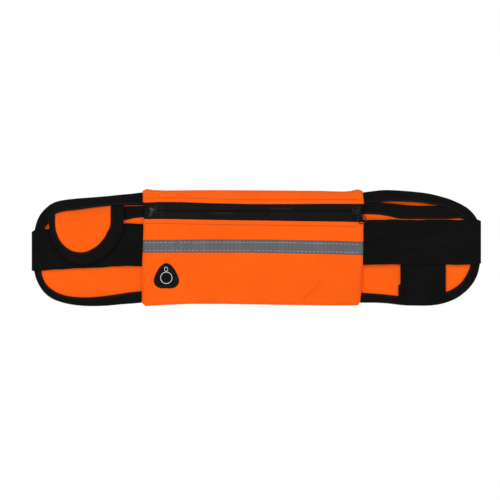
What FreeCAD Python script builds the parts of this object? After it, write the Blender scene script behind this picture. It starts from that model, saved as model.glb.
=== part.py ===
import FreeCAD, Part
import math
import os

# Running waist pack, upright as worn. Millimetres.
# +X to the wearer's view of the front, right; +Z up; the front faces -Y.
# Origin: middle of the flat back face of the centre pouch, the face that lies
# on the wearer's waist (plane y = 0). Layers are stacked from y = 0 forwards.

os.makedirs("parts", exist_ok=True)
V = FreeCAD.Vector

# ---------------------------------------------------------------- dimensions
# centre pouch
POUCH_BACK_T = 2.4        # back panel, neoprene
POUCH_DEPTH = 10.4        # back face to front face
POUCH_FRONT_T = 2.0       # front panel, neoprene
POUCH_RIM_T = 1.5         # side walls
POUCH_EDGE_R = 2.5        # rounding of the front edge
# zip
ZIP_Z = 36.5              # centre line of the zip
ZIP_SLIT = 1.0            # slit between the two tapes
ZIP_TAPE_T = 0.8
ZIP_TAPE_FRONT = -10.0
COIL_H = 1.6
COIL_T = 1.4
SLIDER_X = 103.3          # slider centre, zip closed
SLIDER_HALF = 4.3
ZIP_TRAVEL = 195.0
CLEAR = 0.3               # running clearance between bodies
# reflective tape and earphone port
TAPE_T = 0.35
PORT_T = 1.0
PORT_X, PORT_Z = -86.4, -30.5
PORT_BORE_R = 2.5
PORT_BACKING_T = 1.0
# wings
WING_L_X = -111.9         # inner edge of the left wing
WING_R_X = 111.3          # inner edge of the right wing
WING_BACK_Y = -0.9        # back face of the back panel
WING_BACK_T = 2.0
POCKET_GAP = 0.5
WING_FRONT_T = 1.6
BIND_T = 0.8              # thickness of the edge binding
MOUTH_BIND_T = 0.6
# elastic
BAND_T = 1.4
BASE_STRAP_T = 0.9
LEFT_TIP = (-217.2, -2.9)   # centre of the fold of the band round the tip, x and y
RIGHT_TIP = (224.0, -3.4)
LEFT_FOLD_R = 4.3           # outer radius of that fold
RIGHT_FOLD_R = 4.7
TAIL_END_X = 118.5          # free end of each strap tail, folded behind its wing
# coin pocket flap
FLAP_HINGE = ((-203.0, 34.6), (-129.0, 43.1))
FLAP_BACK_Y = -8.3
FLAP_BIND_T = 0.6
FLAP_T = 1.2

W_BACK_F = WING_BACK_Y - WING_BACK_T            # front face of the back panel
W_FRONT_B = W_BACK_F - POCKET_GAP               # back face of the front panel
W_FRONT_F = W_FRONT_B - WING_FRONT_T            # front face of the front panel
W_OUT_B = WING_BACK_Y + BIND_T                  # outermost back face of a wing
W_OUT_F = W_FRONT_F - BIND_T                    # outermost front face of a wing
P_FRONT_B = -(POUCH_DEPTH - POUCH_FRONT_T)      # inside of the pouch's front panel


# ------------------------------------------------------------------- helpers
def spline(points, closed=False):
    c = Part.BSplineCurve()
    c.interpolate(points, PeriodicFlag=closed)
    return c.toShape()


def wire(parts, y):
    """parts: ("s" or "l", [(x, z), ...]), end to end."""
    edges = []
    for kind, pts in parts:
        vs = [V(x, y, z) for x, z in pts]
        if kind == "s":
            edges.append(spline(vs))
        else:
            edges += [Part.LineSegment(a, b).toShape() for a, b in zip(vs, vs[1:])]
    return Part.Wire(edges)


def prism(parts, y0, y1):
    return Part.Face(wire(parts, y0)).extrude(V(0, y1 - y0, 0))


def poly(pts, y0, y1):
    return prism([("l", list(pts) + [pts[0]])], y0, y1)


def ring_spline(pts, y0, y1):
    e = spline([V(x, y0, z) for x, z in pts], closed=True)
    return Part.Face(Part.Wire([e])).extrude(V(0, y1 - y0, 0))


def rounded(pts, y0, y1):
    """Polygon (x, z, corner radius), extruded."""
    n = len(pts)
    ends = []
    for i in range(n):
        x, z, r = pts[i]
        a = V(*[pts[i - 1][0], 0, pts[i - 1][1]])
        b = V(x, 0, z)
        c = V(pts[(i + 1) % n][0], 0, pts[(i + 1) % n][1])
        u, w = (a - b).normalize(), (c - b).normalize()
        half = math.acos(max(-1, min(1, u.dot(w)))) / 2
        if r <= 0 or half > 1.56:
            ends.append((b, None, b))
            continue
        t = r / math.tan(half)
        m = (u + w).normalize()
        mid = b + m * (r / math.sin(half) - r)
        ends.append((b + u * t, mid, b + w * t))
    edges = []
    shift = V(0, y0, 0)
    for i in range(n):
        s, mid, e = ends[i]
        if mid is not None:
            edges.append(Part.Arc(s + shift, mid + shift, e + shift).toShape())
        nxt = ends[(i + 1) % n][0]
        edges.append(Part.LineSegment(e + shift, nxt + shift).toShape())
    return Part.Face(Part.Wire(edges)).extrude(V(0, y1 - y0, 0))


def box(x0, x1, y0, y1, z0, z1):
    lo = V(min(x0, x1), min(y0, y1), min(z0, z1))
    return Part.makeBox(abs(x1 - x0), abs(y1 - y0), abs(z1 - z0), lo)


def inset(points, d):
    """The open line of (x, z) points moved by d to its right-hand side going along it."""
    e = spline([V(x, 0, z) for x, z in points])
    c, out = e.Curve, []
    n = 44
    a, b = e.ParameterRange
    for i in range(n + 1):
        t = a + (b - a) * i / n
        p, q = c.value(t), c.tangent(t)[0]
        out.append((p.x + q.z * d, p.z - q.x * d))
    return out


made = {}


def save(name, shape):
    if shape.ShapeType == "Compound" and len(shape.Solids) == 1:
        shape = shape.Solids[0]
    if not shape.isValid() or not shape.Solids:
        raise RuntimeError("bad solid: " + name)
    shape.exportStep("parts/" + name + ".step")
    made[name] = shape


# -------------------------------------------------------------- centre pouch
pouch_line = [
    (-110.6, 56.6, 0.8), (-106.5, 58.6, 3.0), (-100.0, 57.5, 12.0), (-86.0, 57.0, 60.0),
    (-42.0, 57.4, 60.0), (24.0, 57.0, 60.0), (68.0, 56.6, 60.0), (90.0, 55.9, 30.0),
    (98.0, 56.5, 10.0), (105.5, 58.2, 3.0), (110.4, 56.2, 0.8), (111.0, 44.0, 20.0),
    (110.9, -17.0, 30.0), (108.9, -43.0, 30.0), (107.9, -54.5, 0.5), (105.6, -58.3, 2.0),
    (80.0, -58.5, 40.0), (30.0, -57.8, 40.0), (-30.0, -56.8, 60.0), (-64.0, -56.8, 60.0),
    (-86.0, -57.8, 60.0), (-107.5, -59.0, 2.0), (-111.3, -55.5, 1.5), (-111.1, -15.0, 30.0),
    (-110.3, 18.0, 60.0),
]
pouch_inner = [
    (-108.9, 55.6, 3.0), (108.6, 55.6, 3.0), (108.6, -17.0, 20.0), (105.9, -56.0, 3.0),
    (80.0, -56.8, 20.0), (-50.0, -54.1, 20.0), (-109.1, -54.6, 3.0),
]
Y_BACK = -POUCH_BACK_T
Y_FRONT = -POUCH_DEPTH

pouch_back_panel = rounded(pouch_line, 0.0, Y_BACK)
save("pouch_back_panel", pouch_back_panel)

outer = rounded(pouch_line, Y_BACK, Y_FRONT)
front_edges = [
    e for e in outer.Edges
    if abs(e.BoundBox.YMax - Y_FRONT) < 1e-6 and abs(e.BoundBox.YMin - Y_FRONT) < 1e-6
]
try:
    outer = outer.makeFillet(POUCH_EDGE_R, front_edges)
except Exception:
    outer = outer.makeChamfer(POUCH_EDGE_R * 0.6, front_edges)
cavity = rounded(pouch_inner, Y_BACK, P_FRONT_B)
shell = outer.cut(cavity)

# lines of the black zip band: its lower and upper edges, and the zip's centre
low_line = [(-120.0, 28.3), (-92.0, 28.35), (-72.0, 28.1), (-42.0, 27.45), 
            (-2.0, 26.95), (38.0, 26.35), (78.0, 25.85), (103.0, 25.4), (120.0, 25.2)]
top_line = [(-120.0, 44.4), (-106.0, 44.6), (-92.0, 45.2), (-72.0, 45.1), (-42.0, 44.0), 
            (-2.0, 43.15), (38.0, 43.1), (78.0, 43.4), (120.0, 43.2)]
region_low = low_line + [(120.0, -80.0), (-120.0, -80.0)]
region_top = top_line + [(120.0, 80.0), (-120.0, 80.0)]
region_zip = low_line + list(reversed(top_line))

port_cut = Part.makeCylinder(PORT_BORE_R, 30.0, V(PORT_X, 5.0, PORT_Z), V(0, -1, 0))

low_part = shell.common(poly(region_low, 10.0, -30.0))
rims = shell.common(poly(region_zip, 10.0, ZIP_TAPE_FRONT + ZIP_TAPE_T))
rims = rims.cut(rounded(pouch_inner, Y_BACK, ZIP_TAPE_FRONT + ZIP_TAPE_T))
pouch_front_panel = low_part.fuse(rims).removeSplitter().cut(port_cut)
save("pouch_front_panel", pouch_front_panel)
pouch_top_panel = shell.common(poly(region_top, 10.0, -30.0))
save("pouch_top_panel", pouch_top_panel)

# ----------------------------------------------------------------------- zip
half_slit = ZIP_SLIT / 2
tape_back = ZIP_TAPE_FRONT + ZIP_TAPE_T
up_region = [(-120.0, ZIP_Z + half_slit), (120.0, ZIP_Z + half_slit)] + list(reversed(top_line))
dn_region = low_line + [(120.0, ZIP_Z - half_slit), (-120.0, ZIP_Z - half_slit)]
zip_tape_upper = outer.common(poly(up_region, tape_back, ZIP_TAPE_FRONT))
zip_tape_lower = outer.common(poly(dn_region, tape_back, ZIP_TAPE_FRONT))
save("zip_tape_upper", zip_tape_upper)
save("zip_tape_lower", zip_tape_lower)
coil_back = tape_back + COIL_T
coil_x0, coil_x1 = -96.8, 107.8
save("zip_coil_upper", box(coil_x0, coil_x1, tape_back, coil_back, ZIP_Z + half_slit, ZIP_Z + half_slit + COIL_H))
save("zip_coil_lower", box(coil_x0, coil_x1, tape_back, coil_back, ZIP_Z - half_slit, ZIP_Z - half_slit - COIL_H))
top_stop_up = box(107.9, 108.6, tape_back, coil_back - 0.1, ZIP_Z + half_slit, ZIP_Z + 2.4)
top_stop_dn = box(107.9, 108.6, tape_back, coil_back - 0.1, ZIP_Z - half_slit, ZIP_Z - 2.4)
bottom_stop = box(-98.6, -96.9, tape_back, coil_back, ZIP_Z - 2.6, ZIP_Z + 2.6)
save("zip_end_stops", Part.makeCompound([top_stop_up, top_stop_dn, bottom_stop]))

# slider: front plate, bridge through the slit, back plate with two flanges, bail
sx = SLIDER_X
plate = [
    (sx - SLIDER_HALF, -2.5), (sx - 1.0, -2.9), (sx + 2.0, -3.8), (sx + SLIDER_HALF, -3.3),
    (sx + SLIDER_HALF, 3.3), (sx + 2.0, 3.8), (sx - 1.0, 2.9), (sx - SLIDER_HALF, 2.5),
]
plate = [(x, z + ZIP_Z) for x, z in plate]
y_fp = ZIP_TAPE_FRONT - CLEAR               # back of the front plate
front_plate = poly(plate, y_fp, y_fp - 0.8)
y_bp = coil_back + CLEAR                    # front of the back plate
back_plate = poly(plate, y_bp, y_bp + 0.8)
bridge = box(sx + 1.0, sx + 3.4, y_bp + 0.2, y_fp - 0.2, ZIP_Z - 0.22, ZIP_Z + 0.22)
fl = COIL_H + half_slit + CLEAR
flange_a = box(sx - SLIDER_HALF, sx + SLIDER_HALF, y_bp, tape_back + CLEAR, ZIP_Z + fl, ZIP_Z + fl + 0.7)
flange_b = box(sx - SLIDER_HALF, sx + SLIDER_HALF, y_bp, tape_back + CLEAR, ZIP_Z - fl, ZIP_Z - fl - 0.7)
flanges = flange_a.fuse(flange_b)
flanges = flanges.common(box(sx - 10, sx + 10, 0, -20, ZIP_Z - 3.2, ZIP_Z + 3.2))
BAIL_Y = -12.7
bail = box(100.8, 107.4, BAIL_Y + 0.3, BAIL_Y - 0.3, ZIP_Z - 0.4, ZIP_Z + 0.4)
bail = bail.fuse(box(100.8, 101.6, y_fp - 0.4, BAIL_Y, ZIP_Z - 0.4, ZIP_Z + 0.4))
bail = bail.fuse(box(106.6, 107.4, y_fp - 0.4, BAIL_Y, ZIP_Z - 0.4, ZIP_Z + 0.4))
zip_slider = front_plate.fuse([back_plate, bridge, flanges, bail]).removeSplitter()
save("zip_slider", zip_slider)

# pull: a wire link on the bail, and the wire ring that hangs on the link
TILT = math.radians(18.0)
d = V(math.sin(TILT), 0, -math.cos(TILT))
e = V(math.cos(TILT), 0, math.sin(TILT))
LINK_W, LINK_R, LINK_L = 0.95, 0.3, 5.2
RING_R, RING_WIRE = 4.1, 0.5
p0 = V(106.0, BAIL_Y, ZIP_Z)
p1 = p0 + d * LINK_L
ring_c = p1 + d * RING_R


def disc(c, n, r):
    return Part.Face(Part.Wire([Part.Circle(c, n, r).toShape()]))


yv = V(0, 1, 0)
leg_a = disc(p0 + yv * LINK_W, d, LINK_R).extrude(d * LINK_L)
leg_b = disc(p0 - yv * LINK_W, d, LINK_R).extrude(d * LINK_L)
turn_a = disc(p0 + yv * LINK_W, d, LINK_R).revolve(p0, e, 180)
turn_b = disc(p1 + yv * LINK_W, d, LINK_R).revolve(p1, e, -180)
if turn_a.BoundBox.ZMax < ZIP_Z + 0.5:
    turn_a, turn_b = (
        disc(p0 + yv * LINK_W, d, LINK_R).revolve(p0, e, -180),
        disc(p1 + yv * LINK_W, d, LINK_R).revolve(p1, e, 180),
    )
save("zip_pull_link", leg_a.fuse([leg_b, turn_a, turn_b]).removeSplitter())
save("zip_pull_ring", Part.makeTorus(RING_R, RING_WIRE, ring_c, yv))

# ------------------------------------------------- reflective tape and port
tape_line = [
    (-107.6, 7.3), (-40.0, 7.8), (20.0, 7.6), (78.0, 6.5), (108.2, 5.5),
    (108.2, -7.7), (93.0, -7.2), (78.0, -6.7), (38.0, -6.0), (0.0, -5.3), (-40.0, -5.2), (-107.6, -5.2),
]
save("reflective_tape", poly(tape_line, Y_FRONT, Y_FRONT - TAPE_T))

half_w = [(-16.9, 3.3), (-20.7, 7.1), (-24.7, 9.5), (-28.7, 11.3), (-32.7, 12.35), (-36.9, 11.6), (-40.2, 8.0)]
right = [(-86.5 + w, z) for z, w in half_w]
left = [(-86.5 - w, z) for z, w in reversed(half_w)]
port_line = [(-86.5, -15.7)] + right + [(-86.5, -41.2)] + left
earphone_port = ring_spline(port_line, Y_FRONT, Y_FRONT - PORT_T).cut(port_cut)
save("earphone_port", earphone_port)
backing = Part.makeCylinder(9.0, PORT_BACKING_T, V(PORT_X, P_FRONT_B, PORT_Z), V(0, 1, 0)).cut(port_cut)
save("earphone_port_backing", backing)
y_print = Y_FRONT - PORT_T
ring_mark = Part.makeCylinder(6.7, 0.15, V(PORT_X, y_print, PORT_Z), V(0, -1, 0)).cut(
    Part.makeCylinder(5.2, 0.15, V(PORT_X, y_print, PORT_Z), V(0, -1, 0)))
loop_mark = Part.makeCylinder(2.4, 0.15, V(-86.6, y_print, -21.6), V(0, -1, 0)).cut(
    Part.makeCylinder(1.0, 0.15, V(-86.6, y_print, -21.6), V(0, -1, 0)))
save("earphone_port_mark", Part.makeCompound([ring_mark, loop_mark]))

# ----------------------------------------------------------------- left wing
left_line = [
    (-111.9, 54.9),
    (-122.2, 53.7), (-130.2, 53.0), (-142.8, 51.7), (-158.8, 50.3), (-174.8, 49.1),
    (-186.8, 47.8), (-195.4, 46.2), (-200.6, 44.2), (-207.3, 39.4), (-213.6, 31.8), (-217.3, 22.9),
    (-219.0, 14.0), (-219.6, 0.0), (-219.5, -14.0), (-218.8, -25.0), (-216.9, -32.0),
    (-214.0, -38.2), (-209.8, -44.4), (-202.8, -50.4), (-194.5, -54.2), (-186.2, -56.5),
    (-174.8, -58.3), (-158.8, -59.0), (-142.8, -58.3), (-130.2, -57.1), (-118.0, -56.2),
    (-111.9, -55.6),
]
left_window = [
    (-111.9, 42.2),
    (-127.0, 42.4), (-142.0, 43.0), (-158.0, 41.7), (-176.0, 39.4),
    (-195.0, 36.3), (-201.0, 31.0), (-204.9, 24.0), (-208.9, 18.0), (-211.6, 8.0),
    (-212.4, -4.0), (-212.3, -16.0), (-211.2, -27.0), (-207.2, -36.4), (-202.5, -41.2),
    (-190.7, -47.4), (-176.0, -50.0), (-162.7, -50.1), (-147.0, -48.7), (-132.0, -46.5), (-122.7, -45.2),
    (-111.9, -44.1),
]
left_panel = inset(left_line, -0.8)
if max(abs(x) for x, z in left_panel) > 219.4:
    left_panel = inset(left_line, 0.8)
left_panel[0] = (-111.9, left_panel[0][1])
left_panel[-1] = (-111.9, left_panel[-1][1])


def closed_line(pts):
    return [("s", pts), ("l", [pts[-1], pts[0]])]


def wing(side, line, window, panel, mouth_top, mouth_low, tip_x, tip_z):
    """Back panel, front panel, edge binding and mouth binding of one wing.
    mouth_top and mouth_low: upper and lower edges of the mouth binding, from the pouch outwards.
    tip_x, tip_z: inside the fold of the band the wing ends at tip_x."""
    far = 400.0 if side > 0 else -400.0
    trim = box(tip_x, far, 20, -40, tip_z[0], tip_z[1])
    full = prism(closed_line(panel), WING_BACK_Y, W_BACK_F).cut(trim)
    below = list(mouth_top) + [(mouth_top[-1][0], -90.0), (mouth_top[0][0], -90.0)]
    lowered = [(x, z - MOUTH_BIND_T if z > -80 else z) for x, z in below]
    front = prism(closed_line(panel), W_FRONT_B, W_FRONT_F).cut(trim)
    front = front.common(poly(lowered, 20, -40))
    edge = prism(closed_line(line), W_OUT_B, W_OUT_F)
    edge = edge.cut(prism(closed_line(window), 20, -40)).cut(trim)
    edge = edge.cut(full).cut(front)
    strip = list(mouth_top) + list(reversed(mouth_low))
    mouth = poly(strip, W_FRONT_B + 0.4, W_FRONT_F - MOUTH_BIND_T)
    mouth = mouth.common(prism(closed_line(window), 20, -40)).cut(front)
    return full, front, edge, mouth


l_mouth_top = [(-111.9, 41.2), (-128.0, 40.9), (-150.0, 40.3), (-176.0, 38.0), (-196.0, 34.0), (-230.0, 28.0)]
l_mouth_low = [(-111.9, 29.9), (-120.0, 29.0), (-126.5, 27.4), (-132.0, 26.6), (-150.0, 26.5), (-176.0, 27.0), (-200.0, 26.5), (-230.0, 20.0)]
lb, lf, le, lm = wing(-1, left_line, left_window, left_panel, l_mouth_top, l_mouth_low, LEFT_TIP[0], (-25.2, 17.8))
save("left_wing_back_panel", lb)
save("left_wing_front_panel", lf)
save("left_wing_binding", le)
save("left_pocket_mouth_binding", lm)


def fold(tip, r_out, t, side, z0, z1):
    """Half tube of the band round the wing's tip, and nothing else."""
    x, y = tip
    h = z1 - z0
    tube = Part.makeCylinder(r_out, h, V(x, y, z0)).cut(Part.makeCylinder(r_out - t, h, V(x, y, z0)))
    keep = box(x, x + side * 20, y - 20, y + 20, z0, z1)
    return tube.common(keep)


# waist band of the left wing: front run, fold round the tip, short sewn-down back run
fx, fy = LEFT_TIP
run = poly([(-111.9, 23.7), (-126.0, 23.7), (-160.0, 21.9), (-205.0, 18.5), (fx, 17.2), (fx, -24.6), (-203.0, -22.3),
            (-177.0, -21.3), (-162.0, -20.6), (-143.0, -19.4), (-126.0, -18.9), (-111.9, -18.8)],
           fy - LEFT_FOLD_R + BAND_T, fy - LEFT_FOLD_R)
turn = fold(LEFT_TIP, LEFT_FOLD_R, BAND_T, -1, -24.6, 17.2)
back_run = poly([(fx, 17.2), (-200.0, 17.2), (-200.0, -24.6), (fx, -24.6)],
                fy + LEFT_FOLD_R - BAND_T, fy + LEFT_FOLD_R)
save("left_waist_band", run.fuse([turn, back_run]).removeSplitter())

loop_y = fy - LEFT_FOLD_R
save("coin_flap_loop_patch", rounded([(-187.0, 15.5, 2.0), (-157.0, 15.5, 2.0), (-157.0, -3.5, 6.0), (-187.0, -3.5, 6.0)],
                                     loop_y, loop_y - 0.6))

# ----------------------------------------------------------------- coin flap
(hx0, hz0), (hx1, hz1) = FLAP_HINGE
slope = (hz1 - hz0) / (hx1 - hx0)


def hinge_z(x):
    return hz0 + slope * (x - hx0)


flap_curve = [
    (-129.0, 16.0), (-133.5, 9.0), (-138.5, 1.0), (-144.8, -5.6), (-151.5, -11.2),
    (-161.0, -15.9), (-172.0, -17.0), (-183.0, -14.0), (-192.0, -6.5), (-198.5, 3.0),
    (-202.6, 12.5), (-203.8, 21.0),
]
flap_line = [
    ("l", [(-203.8, 21.0), (-203.8, hinge_z(-203.8) - 0.4), (-129.0, hinge_z(-129.0) - 0.4), (-129.0, 16.0)]),
    ("s", flap_curve),
]
d_curve = [
    (-142.0, 25.0), (-143.1, 19.3), (-145.2, 15.3), (-147.5, 10.6), (-150.5, 6.6), (-153.4, 3.3),
    (-159.0, -0.9), (-165.5, -4.1), (-172.5, -5.1), (-179.5, -3.9), (-185.6, -0.7), (-190.0, 3.3),
    (-193.0, 7.3), (-195.0, 11.8), (-196.8, 17.5), (-197.5, 24.0),
]
d_line = [
    ("l", [(-197.5, 24.0), (-197.5, 60.0), (-142.0, 60.0), (-142.0, 25.0)]),
    ("s", d_curve),
]
flap_front = FLAP_BACK_Y - 2 * FLAP_BIND_T - FLAP_T
flap_full = prism(flap_line, FLAP_BACK_Y, flap_front)
curve_in = inset(flap_curve, 0.6)
if curve_in[0][0] > -129.0:
    curve_in = inset(flap_curve, -0.6)
curve_in[0] = (-129.6, curve_in[0][1])
curve_in[-1] = (-203.2, curve_in[-1][1])
panel_line = [
    ("l", [curve_in[-1], (-203.2, hinge_z(-203.2) - 0.4), (-129.6, hinge_z(-129.6) - 0.4), curve_in[0]]),
    ("s", curve_in),
]
coin_flap_panel = prism(panel_line, FLAP_BACK_Y - FLAP_BIND_T, flap_front + FLAP_BIND_T)
save("coin_flap_panel", coin_flap_panel)
coin_flap_binding = flap_full.cut(prism(d_line, 20, -40)).cut(coin_flap_panel)
save("coin_flap_binding", coin_flap_binding)
hook_b = FLAP_BACK_Y - FLAP_BIND_T
save("coin_flap_hook_patch", rounded([(-184.0, 13.5, 2.0), (-160.0, 13.5, 2.0), (-160.0, 1.5, 4.0), (-184.0, 1.5, 4.0)],
                                     hook_b + 0.7, hook_b))

# ---------------------------------------------------------------- right wing
right_line = [
    (111.3, 55.2),
    (123.3, 56.7), (131.0, 57.4), (137.8, 57.4), (149.3, 56.8), (163.3, 55.6), (171.0, 54.7),
    (179.8, 53.2), (188.0, 51.1), (196.0, 48.8), (203.0, 46.0), (211.0, 42.0), (216.2, 38.6), (221.0, 33.8),
    (225.2, 27.5), (227.5, 20.0), (228.0, 8.0), (228.1, -4.0), (227.9, -14.0), (226.9, -21.0),
    (225.3, -27.0), (222.6, -33.0), (218.8, -38.6), (212.8, -44.8), (204.3, -51.0), (196.0, -54.7),
    (188.0, -57.0), (177.8, -58.4), (163.3, -58.5), (153.8, -58.3), (145.8, -57.6), (137.8, -56.6), (129.8, -55.9), (118.0, -55.6),
    (111.3, -55.6),
]
right_window = [
    (111.3, 44.1),
    (118.0, 44.4), (128.0, 45.1), (138.0, 45.9), (148.0, 45.8), (158.0, 45.4), (168.0, 44.6), (178.0, 43.2),
    (187.0, 41.4), (195.0, 38.9), (203.0, 35.4), (212.0, 29.2), (216.6, 20.5), (218.6, 8.0), (219.0, -6.0),
    (218.4, -16.0), (217.0, -21.5), (213.7, -28.2), (208.9, -35.2), (203.5, -39.8), (197.0, -43.5),
    (190.5, -45.8), (177.0, -48.6), (163.0, -49.4), (148.0, -49.0), (137.8, -47.9), (127.8, -46.9), (119.8, -46.4),
    (111.3, -45.7),
]
right_panel = inset(right_line, 0.8)
if max(abs(x) for x, z in right_panel) > 228.1:
    right_panel = inset(right_line, -0.8)
right_panel[0] = (111.3, right_panel[0][1])
right_panel[-1] = (111.3, right_panel[-1][1])
r_mouth_top = [(111.3, 46.0), (118.0, 45.6), (126.0, 44.9), (138.0, 44.2), (148.0, 43.0), (158.0, 42.0), (168.0, 41.6), (178.0, 41.6), (188.0, 41.3), (200.0, 37.5), (240.0, 26.0)]
r_mouth_low = [(111.3, 33.5), (131.0, 33.5), (147.0, 31.5), (156.0, 30.0), (207.0, 30.0), (240.0, 20.0)]
rb, rf, re_, rm = wing(1, right_line, right_window, right_panel, r_mouth_top, r_mouth_low, RIGHT_TIP[0], (-17.8, 27.9))
save("right_wing_back_panel", rb)
save("right_wing_front_panel", rf)
save("right_wing_binding", re_)
save("right_pocket_mouth_binding", rm)

save("bottle_base_strap", poly([
    (147.8, 20.0), (193.2, 20.0), (193.2, -54.8), (180.0, -57.2), (163.0, -57.8), (145.7, -57.0),
    (145.7, -38.0), (147.8, -37.0)], W_OUT_F, W_OUT_F - BASE_STRAP_T))

fx, fy = RIGHT_TIP
run = poly([(111.3, 27.6), (fx, 27.6), (fx, -17.3), (111.3, -17.3)],
           fy - RIGHT_FOLD_R + BAND_T, fy - RIGHT_FOLD_R)
turn = fold(RIGHT_TIP, RIGHT_FOLD_R, BAND_T, 1, -17.3, 27.6)
back_run = poly([(fx, 27.6), (206.0, 27.6), (206.0, -17.3), (fx, -17.3)],
                fy + RIGHT_FOLD_R - BAND_T, fy + RIGHT_FOLD_R)
save("right_waist_band", run.fuse([turn, back_run]).removeSplitter())

# --------------------------------------------------------------- strap tails
# Each tail leaves its fold as a tangent, so it turns about the fold's centre.
y0 = LEFT_TIP[1] + LEFT_FOLD_R + CLEAR
save("left_strap_tail", rounded([
    (LEFT_TIP[0], 15.0, 0.0), (-TAIL_END_X, 15.0, 6.0), (-TAIL_END_X, -23.0, 6.0), (LEFT_TIP[0], -23.0, 0.0)],
    y0, y0 + BAND_T))
save("left_strap_loop_patch", rounded([
    (-182.0, 13.0, 2.0), (-122.0, 13.0, 4.0), (-122.0, -21.0, 4.0), (-182.0, -21.0, 2.0)],
    y0 + BAND_T, y0 + BAND_T + 0.7))
y0 = RIGHT_TIP[1] + RIGHT_FOLD_R + CLEAR
save("right_strap_tail", rounded([
    (RIGHT_TIP[0], 24.5, 0.0), (TAIL_END_X, 24.5, 6.0), (TAIL_END_X, -13.5, 6.0), (RIGHT_TIP[0], -13.5, 0.0)],
    y0, y0 + BAND_T))
save("right_strap_hook_patch", rounded([
    (174.0, 22.5, 2.0), (122.0, 22.5, 4.0), (122.0, -11.5, 4.0), (174.0, -11.5, 2.0)],
    y0 - 0.8, y0))

for name in sorted(made):
    s = made[name]
    b = s.BoundBox
    print("%-28s %8.0f mm3  x %7.1f %7.1f  y %6.2f %6.2f  z %6.1f %6.1f  solids %d" % (
        name, s.Volume, b.XMin, b.XMax, b.YMin, b.YMax, b.ZMin, b.ZMax, len(s.Solids)))
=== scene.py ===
import math

import bmesh
import bpy
import numpy as np
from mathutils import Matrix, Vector
from mathutils.geometry import delaunay_2d_cdt
from mathutils.kdtree import KDTree


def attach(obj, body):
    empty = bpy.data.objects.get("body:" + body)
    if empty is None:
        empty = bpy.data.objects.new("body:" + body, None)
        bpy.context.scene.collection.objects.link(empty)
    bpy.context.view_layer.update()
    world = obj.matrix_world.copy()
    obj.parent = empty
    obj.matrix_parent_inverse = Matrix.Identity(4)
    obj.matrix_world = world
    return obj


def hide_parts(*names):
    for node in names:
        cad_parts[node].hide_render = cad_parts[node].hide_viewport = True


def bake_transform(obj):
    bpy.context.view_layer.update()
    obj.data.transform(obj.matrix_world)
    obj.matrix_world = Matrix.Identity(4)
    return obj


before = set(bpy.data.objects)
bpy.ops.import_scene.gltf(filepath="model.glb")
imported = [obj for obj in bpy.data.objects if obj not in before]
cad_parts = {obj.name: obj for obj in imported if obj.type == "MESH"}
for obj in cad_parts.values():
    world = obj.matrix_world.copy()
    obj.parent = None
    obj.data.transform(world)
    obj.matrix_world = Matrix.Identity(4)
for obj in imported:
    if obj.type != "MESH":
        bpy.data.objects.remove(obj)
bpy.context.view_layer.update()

MM = 0.001
COL = bpy.context.scene.collection


# --------------------------------------------------------------- 2D geometry
def cubic(points, closed=False, step=1.6):
    """Points along a cubic spline through points, about step apart."""
    P = np.array(points, float)
    if closed:
        P = np.vstack([P, P[:1]])
    s = np.r_[0, np.cumsum(np.hypot(*np.diff(P, axis=0).T))]
    n, h = len(P), np.diff(s)
    A, R = np.zeros((n, n)), np.zeros((n, P.shape[1]))
    for i in range(1, n - 1):
        A[i, i - 1], A[i, i], A[i, i + 1] = h[i - 1], 2 * (h[i - 1] + h[i]), h[i]
        R[i] = 6 * ((P[i + 1] - P[i]) / h[i] - (P[i] - P[i - 1]) / h[i - 1])
    if closed:
        A[0, 0], A[0, 1], A[0, n - 2] = 2 * (h[-1] + h[0]), h[0], h[-1]
        R[0] = 6 * ((P[1] - P[0]) / h[0] - (P[-1] - P[-2]) / h[-1])
        A[n - 1, n - 1], A[n - 1, 0] = 1, -1
    else:
        A[0, 0] = A[-1, -1] = 1
    m = np.linalg.solve(A, R)
    k = max(6, int(round(s[-1] / step)))
    t = np.linspace(0, s[-1], k + 1)
    i = np.clip(np.searchsorted(s, t, side="right") - 1, 0, n - 2)
    a, b, hh = (s[i + 1] - t)[:, None], (t - s[i])[:, None], h[i][:, None]
    out = (m[i] * a**3 + m[i + 1] * b**3) / (6 * hh) + (P[i] / hh - m[i] * hh / 6) * a + (P[i + 1] / hh - m[i + 1] * hh / 6) * b
    return out[:-1] if closed else out


def straight(points, step=1.6):
    """Points along a polyline, its corners kept."""
    out = []
    for a, b in zip(points, points[1:]):
        a, b = np.array(a, float), np.array(b, float)
        k = max(1, int(round(np.linalg.norm(b - a) / step)))
        out += [a + (b - a) * j / k for j in range(k)]
    out.append(np.array(points[-1], float))
    return np.array(out)


def loop(*parts):
    """One closed loop from runs that follow each other, double points dropped."""
    P = np.vstack(parts)
    keep = [0]
    for i in range(1, len(P)):
        if np.linalg.norm(P[i] - P[keep[-1]]) > 0.05:
            keep.append(i)
    P = P[keep]
    if np.linalg.norm(P[0] - P[-1]) < 0.05:
        P = P[:-1]
    return P


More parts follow.
